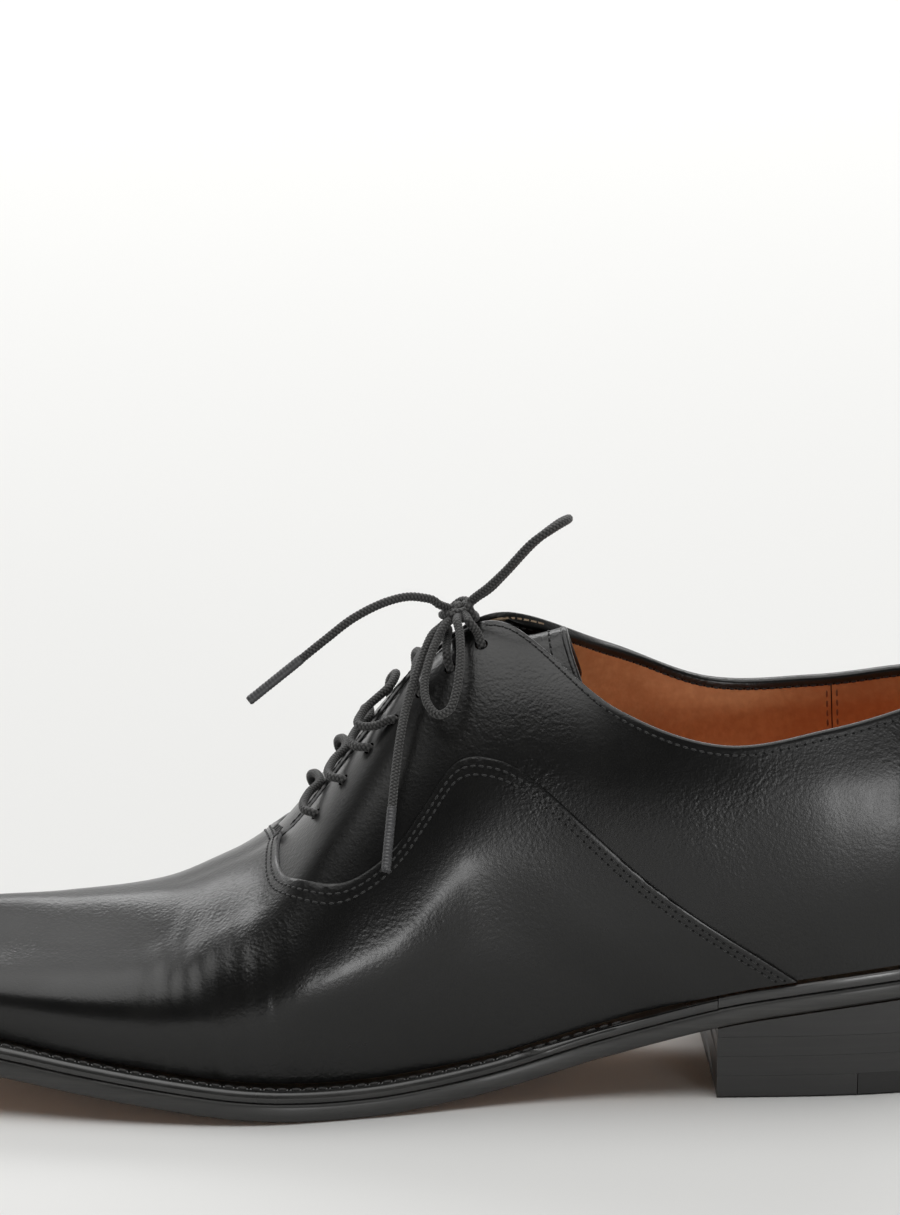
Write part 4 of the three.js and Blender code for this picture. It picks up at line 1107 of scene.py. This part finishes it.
def rings(loops, name, look, slot, **more):
    loops = np.array(loops)
    rows, count = loops.shape[:2]
    faces = [[i * count + j, (i + 1) * count + j, (i + 1) * count + (j + 1) % count,
              i * count + (j + 1) % count] for i in range(rows - 1) for j in range(count)]
    faces += [list(range(count)), [(rows - 1) * count + j for j in reversed(range(count))]]
    return build(name, loops.reshape(-1, 3), faces, look, slot, **more)


def stationsBetween(start, end, step=0.06):
    return np.linspace(start, end, max(3, int(round((end - start) / step)) + 1))


def plate(name, start, end, profile, low, high, look, slot, **more):
    loops = []
    for t in stationsBetween(start, end):
        lateral, medial = section(t, 1, profile, low, high), section(t, -1, profile, low, high)
        loops.append(np.vstack([lateral, medial[::-1]]))
    return rings(loops, name, look, slot, **more)


def band(name, start, end, profile, low, high, look, slot, roundToe, **more):
    ts = stationsBetween(start, end)
    route = [(t, 1) for t in ts] + [(t, -1) for t in ts[::-1][1:]]
    if not roundToe:
        route = [(t, 1) for t in ts[::-1]] + [(t, -1) for t in ts[1:]]
    return rings([section(t, side, profile, low, high) for t, side in route], name, look, slot, **more)


def flat(z):
    return lambda s: np.full_like(np.asarray(s, float), z)


def raised(surface, by):
    return lambda s: surface(s) + by


heelBreast = stationAt(4 + size["heelLength"])
soleProfile = [
    (-9, 0, 0), (-1.6, 0, 0), (-0.7, 0, 0.12), (-0.2, 0, 0.5), (0.05, 0.25, 0), (0.12, 0.5, 0),
    (0.05, 0.78, 0), (-0.12, 1, -0.45), (-0.5, 1, -0.12), (-1.2, 1, 0), (-9, 1, 0),
]
welt = {
    "stitchPlace": 0.42,  # of its width
    "stitchWidth": 0.95, "groove": 0.28, "overlap": 0.1,
}


def soleSection(t):
    return [(soleEdge(t) + out if out > -5 else -7, share, extra) for out, share, extra in soleProfile]


def weltSection(t):
    edge = float(soleEdge(t))
    wide = min(1, max(0, (edge - 2.2) / 1.6))
    groove, deep = edge * welt["stitchPlace"], -welt["groove"] * wide
    return [
        (-size["weltInset"], 0, 0), (edge - 0.9, 0, 0), (edge - 0.35, 0, 0.12), (edge - 0.12, 0, 0.5),
        (edge - 0.1, 0.5, 0), (edge - 0.14, 1, -1.3 * wide - 0.5), (edge - 0.38, 1, -0.75 * wide - 0.3),
        (edge - 0.85, 1, -0.32 * wide - 0.1), (edge - 1.35 * wide, 1, -0.06), (edge - 1.7 * wide, 1, 0),
        (groove + 0.55, 1, 0), (groove + 0.25, 1, deep), (groove - 0.25, 1, deep), (groove - 0.55, 1, 0),
        (-0.2, 1, 0), (-size["weltInset"], 1, 0),
    ]


def randSection(t):
    edge = size["randWidth"]
    return [
        (-size["weltInset"], 0, 0), (edge - 0.6, 0, 0), (edge - 0.1, 0, 0.3), (edge + 0.05, 0.5, 0),
        (edge - 0.15, 1, -0.4), (edge - 0.6, 1, -0.03), (-0.4, 1, 0), (-size["weltInset"], 1, 0),
    ]


plate("sole", 0, lastStation, soleSection, underside, raised(underside, size["outsole"] + 0.12), finish["sole"],
      "sole_leather", replaced=["outsole"], under=finish["under"])
band("storm_welt", heelBreast, lastStation, weltSection, raised(weltBottom, -welt["overlap"]), featherHeight,
     finish["welt"], "welt_leather", True, replaced=["welt"])
band("seat_rand", 0, heelBreast - size["gap"] / stationPitch / 2, randSection,
     raised(weltBottom, -welt["overlap"]), featherHeight, finish["welt"], "welt_leather", False,
     replaced=["heel_rand"])

weltRows = []
for side in sideNames:
    t = np.linspace(heelBreast + 0.75, lastStation, 500)
    spot = outline(t, side, soleEdge(t) * welt["stitchPlace"])
    raisedSpot = np.column_stack([spot, featherHeight(spot[:, 0]) + 0.1])
    weltRows.append((raisedSpot, np.tile([0, 0, 1.0], (len(t), 1))))
joined = tuple(np.vstack([lateral, medial[::-1]]) for lateral, medial in zip(*weltRows))
stitches("welt_stitches", [joined], finish["weltThread"], stitchLook["weltPitch"], "lace_cotton",
         width=welt["stitchWidth"])

insoleInset = stiffenerDepth + size["counter"] + size["gap"] + size["lining"] + size["gap"]
insoleBottom = raised(featherHeight, size["gap"])
insoleTop = raised(insoleBottom, size["insole"])


def boardProfile(inset):
    loop = [(-inset - 8, 0, 0), (-inset, 0, 0), (-inset, 1, -0.3), (-inset - 0.4, 1, 0), (-inset - 8, 1, 0)]
    return lambda t: loop


plate("insole_board", 0, lastStation, boardProfile(insoleInset), insoleBottom, insoleTop, finish["board"],
      "board", replaced=["insole"])
plate("seat_sock", 0, stationAt(size["sockLength"]), boardProfile(insoleInset + 0.6), raised(insoleTop, 0.1),
      raised(insoleTop, size["gap"] + size["sock"]), finish["lining"], "lining", replaced=["heel_sock"])

heelHeight = shape["heelBreast"] - size["gap"]


def heelProfile(low, high, bottomRound=0.03, topRound=0.03):
    heights = [low, low + bottomRound, (low + high) / 2, high - topRound, high]
    edges = [size["randWidth"] - size["heelTaper"] * (1 - z / heelHeight) for z in heights]
    loop = [(-7, 0, 0), (edges[0] - bottomRound, 0, 0), (edges[1], 0, bottomRound), (edges[2], 0.5, 0),
            (edges[3], 1, -topRound), (edges[4] - topRound, 1, 0), (-7, 1, 0)]
    return lambda t: loop


def heelPlate(name, start, end, profile, low, top, look, slot, node):
    return plate(name, start, end, profile, flat(low), top, finish[look], slot, replaced=[node])


seam = 0.02
tipEnd = stationAt(4 + size["quarterTip"])
levels = [size["topPiece"] + size["gap"] + i * (size["lift"] + size["gap"]) for i in range(3)]
treadProfile, treadTop = heelProfile(0, size["topPiece"], 0.5), flat(size["topPiece"])
heelPlate("rubber_tip", 0, tipEnd, treadProfile, 0, treadTop, "rubber", "heel_rubber", "quarter_tip")
heelPlate("heel_top_piece", tipEnd + 0.2 / stationPitch, heelBreast, treadProfile, 0, treadTop, "heel",
          "sole_leather", "top_piece")
for k, name in enumerate(("lower", "upper")):
    low, high = levels[k] - size["gap"] + seam, levels[k] + size["lift"]
    heelPlate(f"{name}_lift", 0, heelBreast, heelProfile(low, high), low, flat(high), "heel", "sole_leather",
              f"heel_lift_{name}")
heelPlate("wedge_lift", 0, heelBreast, heelProfile(levels[2], heelHeight + 0.25),
          levels[2] - size["gap"] + seam, raised(underside, -seam), "heel", "sole_leather", "heel_wedge")
print("bottom and heel")


# Laces.
laceRadius = size["lace"] / 2
braid = {"strands": 4, "lay": 3.6, "relief": 0.16, "step": 0.24, "sides": 28}


def strandRise(travelled, angle):  # strands of both hands, over and under each other
    turn = 2 * math.pi * travelled / braid["lay"] * braid["strands"] / 2
    one, other = np.sin(braid["strands"] / 2 * angle + turn), np.sin(braid["strands"] / 2 * angle - turn)
    return np.abs(one * other) ** 0.6


def braidRelief(travelled, angle):
    return 1 - braid["relief"] * (1 - strandRise(travelled, angle))


def riseAlong(path):
    return strandRise(travel(path)[:, None], (np.arange(braid["sides"]) * 2 * math.pi / braid["sides"])[None])


def endRadius(path, radius, blunt=0.6, draw=0.6):  # the ends are drawn in, as if cut and sealed
    travelled = travel(path)
    near = np.minimum(travelled, travelled[-1] - travelled)
    return radius - rounded(near, blunt) * draw


def lace(name, points, node):
    path = stepAlong(smoothCurve(points, 14), braid["step"])
    made, faces = sweep(path, endRadius(path, laceRadius), braid["sides"], braidRelief)
    piece = build(name, made, faces, finish["lace"], "lace_cotton", angle=70, replaced=[node],
                  rise=riseAlong(path))
    return piece, path


bars = {
    "slack": [0.5, 0.6, 0.9, 2.4, 0, 0],  # how far each one stands off
    "lean": [0.10, 0.12, 0.14, 0.30, 0.03, 0],  # how far it leans to the toe on the near side
}
ride = laceRadius + 0.7
for k, (slack, lean) in enumerate(zip(bars["slack"], bars["lean"])):
    t, h = eyelets[k]
    near = np.array([
        over(t, h, 1, -2), over(t, h, 1, 0.2), over(t + lean * 0.6, h + 0.02, 1, ride + 0.2),
        over(t + lean, h + 0.35 * (1 - h), 1, ride + 0.4 + slack * 0.9),
        over(t + lean * 0.85, h + 0.75 * (1 - h), 1, ride + 0.3 + slack * 0.9),
    ])
    crossing = over(t + lean * 0.1, 1, 1, ride + slack * 0.25) * (1, 0, 1)
    far = np.array([
        over(t - lean * 0.3, h + 0.6 * (1 - h), -1, ride + 0.3),
        over(t - lean * 0.15, h + 0.04, -1, ride + 0.4), over(t, h, -1, 0.2), over(t, h, -1, -2),
    ])
    lace(f"bar_{k + 1}", np.vstack([near, crossing, far]), f"lace_bar_{k + 1}")

knot = np.array([132.8, 1.5, 113.3])
riserT, riserH = eyelets[6]
for side, name in sideNames.items():
    lace(f"{name}_riser", np.vstack([
        over(riserT, riserH, side, -2), over(riserT, riserH, side, 0.2),
        over(riserT + 0.03, riserH + 0.02, side, ride + 0.4),
        knot + (-2.2, side * 7.9, -0.9), knot + (-1.6, side * 5.4, -0.2), knot + (-0.6, side * 2.2, 0.4),
    ]), f"lace_riser_{name}")

freeLace = {
    "loop_up": [
        (129.2, 3.8, 117.2), (126.2, 5.4, 119.9), (122.0, 7.2, 124.3), (115.6, 8.8, 131.6), (110.6, 7.6, 134.8),
        (107.2, 4.2, 136.1), (106.6, 0.4, 135.7), (108.6, -2.8, 134.0), (114.4, -5.4, 128.8), (121.2, -4.4, 121.7),
        (125.4, -2.6, 117.9), (128.4, -1.2, 116.2),
    ],
    "loop_down": [
        (136.6, 7.9, 111.2), (138.6, 11.0, 108.2), (140.8, 16.0, 103.4), (141.8, 20.3, 98.9), (141.0, 24.0, 95.6),
        (138.6, 26.4, 93.8), (136.0, 26.6, 95.1), (134.4, 24.6, 98.6), (133.4, 21.0, 103.4), (133.0, 16.7, 107.8),
        (133.2, 11.9, 111.2), (133.6, 9.7, 112.6),
    ],
    "end_front": [
        (137.8, 4.4, 115.8), (139.2, 4.7, 116.9), (141.0, 5.2, 117.5), (145.2, 6.2, 118.1), (151.0, 7.2, 116.9),
        (158.5, 8.2, 113.3), (165.0, 9.2, 108.5), (171.2, 10.2, 103.7),
    ],
    "end_side": [
        (137.6, 5.3, 110.2), (139.5, 7.8, 109.0), (141.7, 11.4, 105.2), (143.6, 15.1, 101.0), (146.0, 20.2, 94.6),
        (147.7, 26.3, 88.4), (149.1, 32.3, 80.4), (150.0, 37.0, 73.6),
    ],
}


aglet = {"overlap": 0.4, "ribs": 0.035, "ribPitch": 0.9, "waist": 0.93, "blunt": 0.7, "draw": 0.3}


def agletOn(name, route, node):
    tip, before = np.array(route[-1], float), np.array(route[-2], float)
    way = (tip - before) / np.linalg.norm(tip - before)
    path = stepAlong(np.array([tip - way * aglet["overlap"], tip + way * (0.35 + size["agletLength"])]), 0.16)
    ribs = aglet["ribs"] * np.sin(travel(path) * 2 * math.pi / aglet["ribPitch"])
    radius = endRadius(path, size["aglet"] / 2 * (aglet["waist"] + ribs), aglet["blunt"], aglet["draw"])
    made, faces = sweep(path, radius, 20)
    return build(name, made, faces, finish["aglet"], "aglet_plastic", angle=60, replaced=[node])


tips = {
    "end_front": agletOn("front_tip", freeLace["end_front"], "aglet_front"),
    "end_side": agletOn("side_tip", freeLace["end_side"], "aglet_side"),
}
for name, points in freeLace.items():
    first, last = (tuple(knot + (np.array(end) - knot) * 0.4) for end in (points[0], points[-1]))
    tip = [tips[name]] if name in tips else []
    piece, path = lace(f"bow_{name}", [first, *points] if tip else [first, *points, last], f"lace_{name}")

# Centre from the knot's middle, radii along and across, tilt to the toe and to the side in degrees.
knotTurns = [
    {"centre": (0.5, 0.2, -0.9), "radii": (3.5, 3.9), "tilt": (4, 6)},
    {"centre": (0.2, 0.1, 1.0), "radii": (2.6, 3.3), "tilt": (-22, -8)},
    {"centre": (-2.6, 0.4, 0.2), "radii": (2.0, 2.9), "tilt": (52, 14)},
    {"centre": (0.4, 0.0, 0.0), "radii": (1.5, 2.2), "tilt": (84, 30)},
]
knotPoints, knotFaces, knotRise = [], [], []
angle = np.linspace(0, 2 * math.pi, 120)
for turn in knotTurns:
    toToe, toSide = (math.radians(degrees) for degrees in turn["tilt"])
    x, y = np.cos(angle) * turn["radii"][0], np.sin(angle) * turn["radii"][1]
    z = 0.35 * np.sin(2 * angle)
    x, z = x * math.cos(toToe) - z * math.sin(toToe), x * math.sin(toToe) + z * math.cos(toToe)
    y, z = y * math.cos(toSide) - z * math.sin(toSide), y * math.sin(toSide) + z * math.cos(toSide)
    curve = stepAlong(np.stack([x, y, z], axis=1) + knot + turn["centre"], braid["step"])
    made, faces = sweep(curve, laceRadius * 0.98, braid["sides"], braidRelief)
    knotRise.append(riseAlong(curve).ravel())
    knotFaces += [[k + sum(len(p) for p in knotPoints) for k in face] for face in faces]
    knotPoints.append(made)
build("bow_knot", np.vstack(knotPoints), knotFaces, finish["lace"], "lace_cotton", angle=70,
      replaced=["lace_knot"], rise=np.concatenate(knotRise))
print("laces")

# Hidden parts keep their CAD shape.
hiddenLooks = {"insole_rib": "board", "cork_filler": "cork", "seat_filler": "board", "shank": "steel"}
for name, look in hiddenLooks.items():
    nodes[name].material_slots[0].material = finish[look]
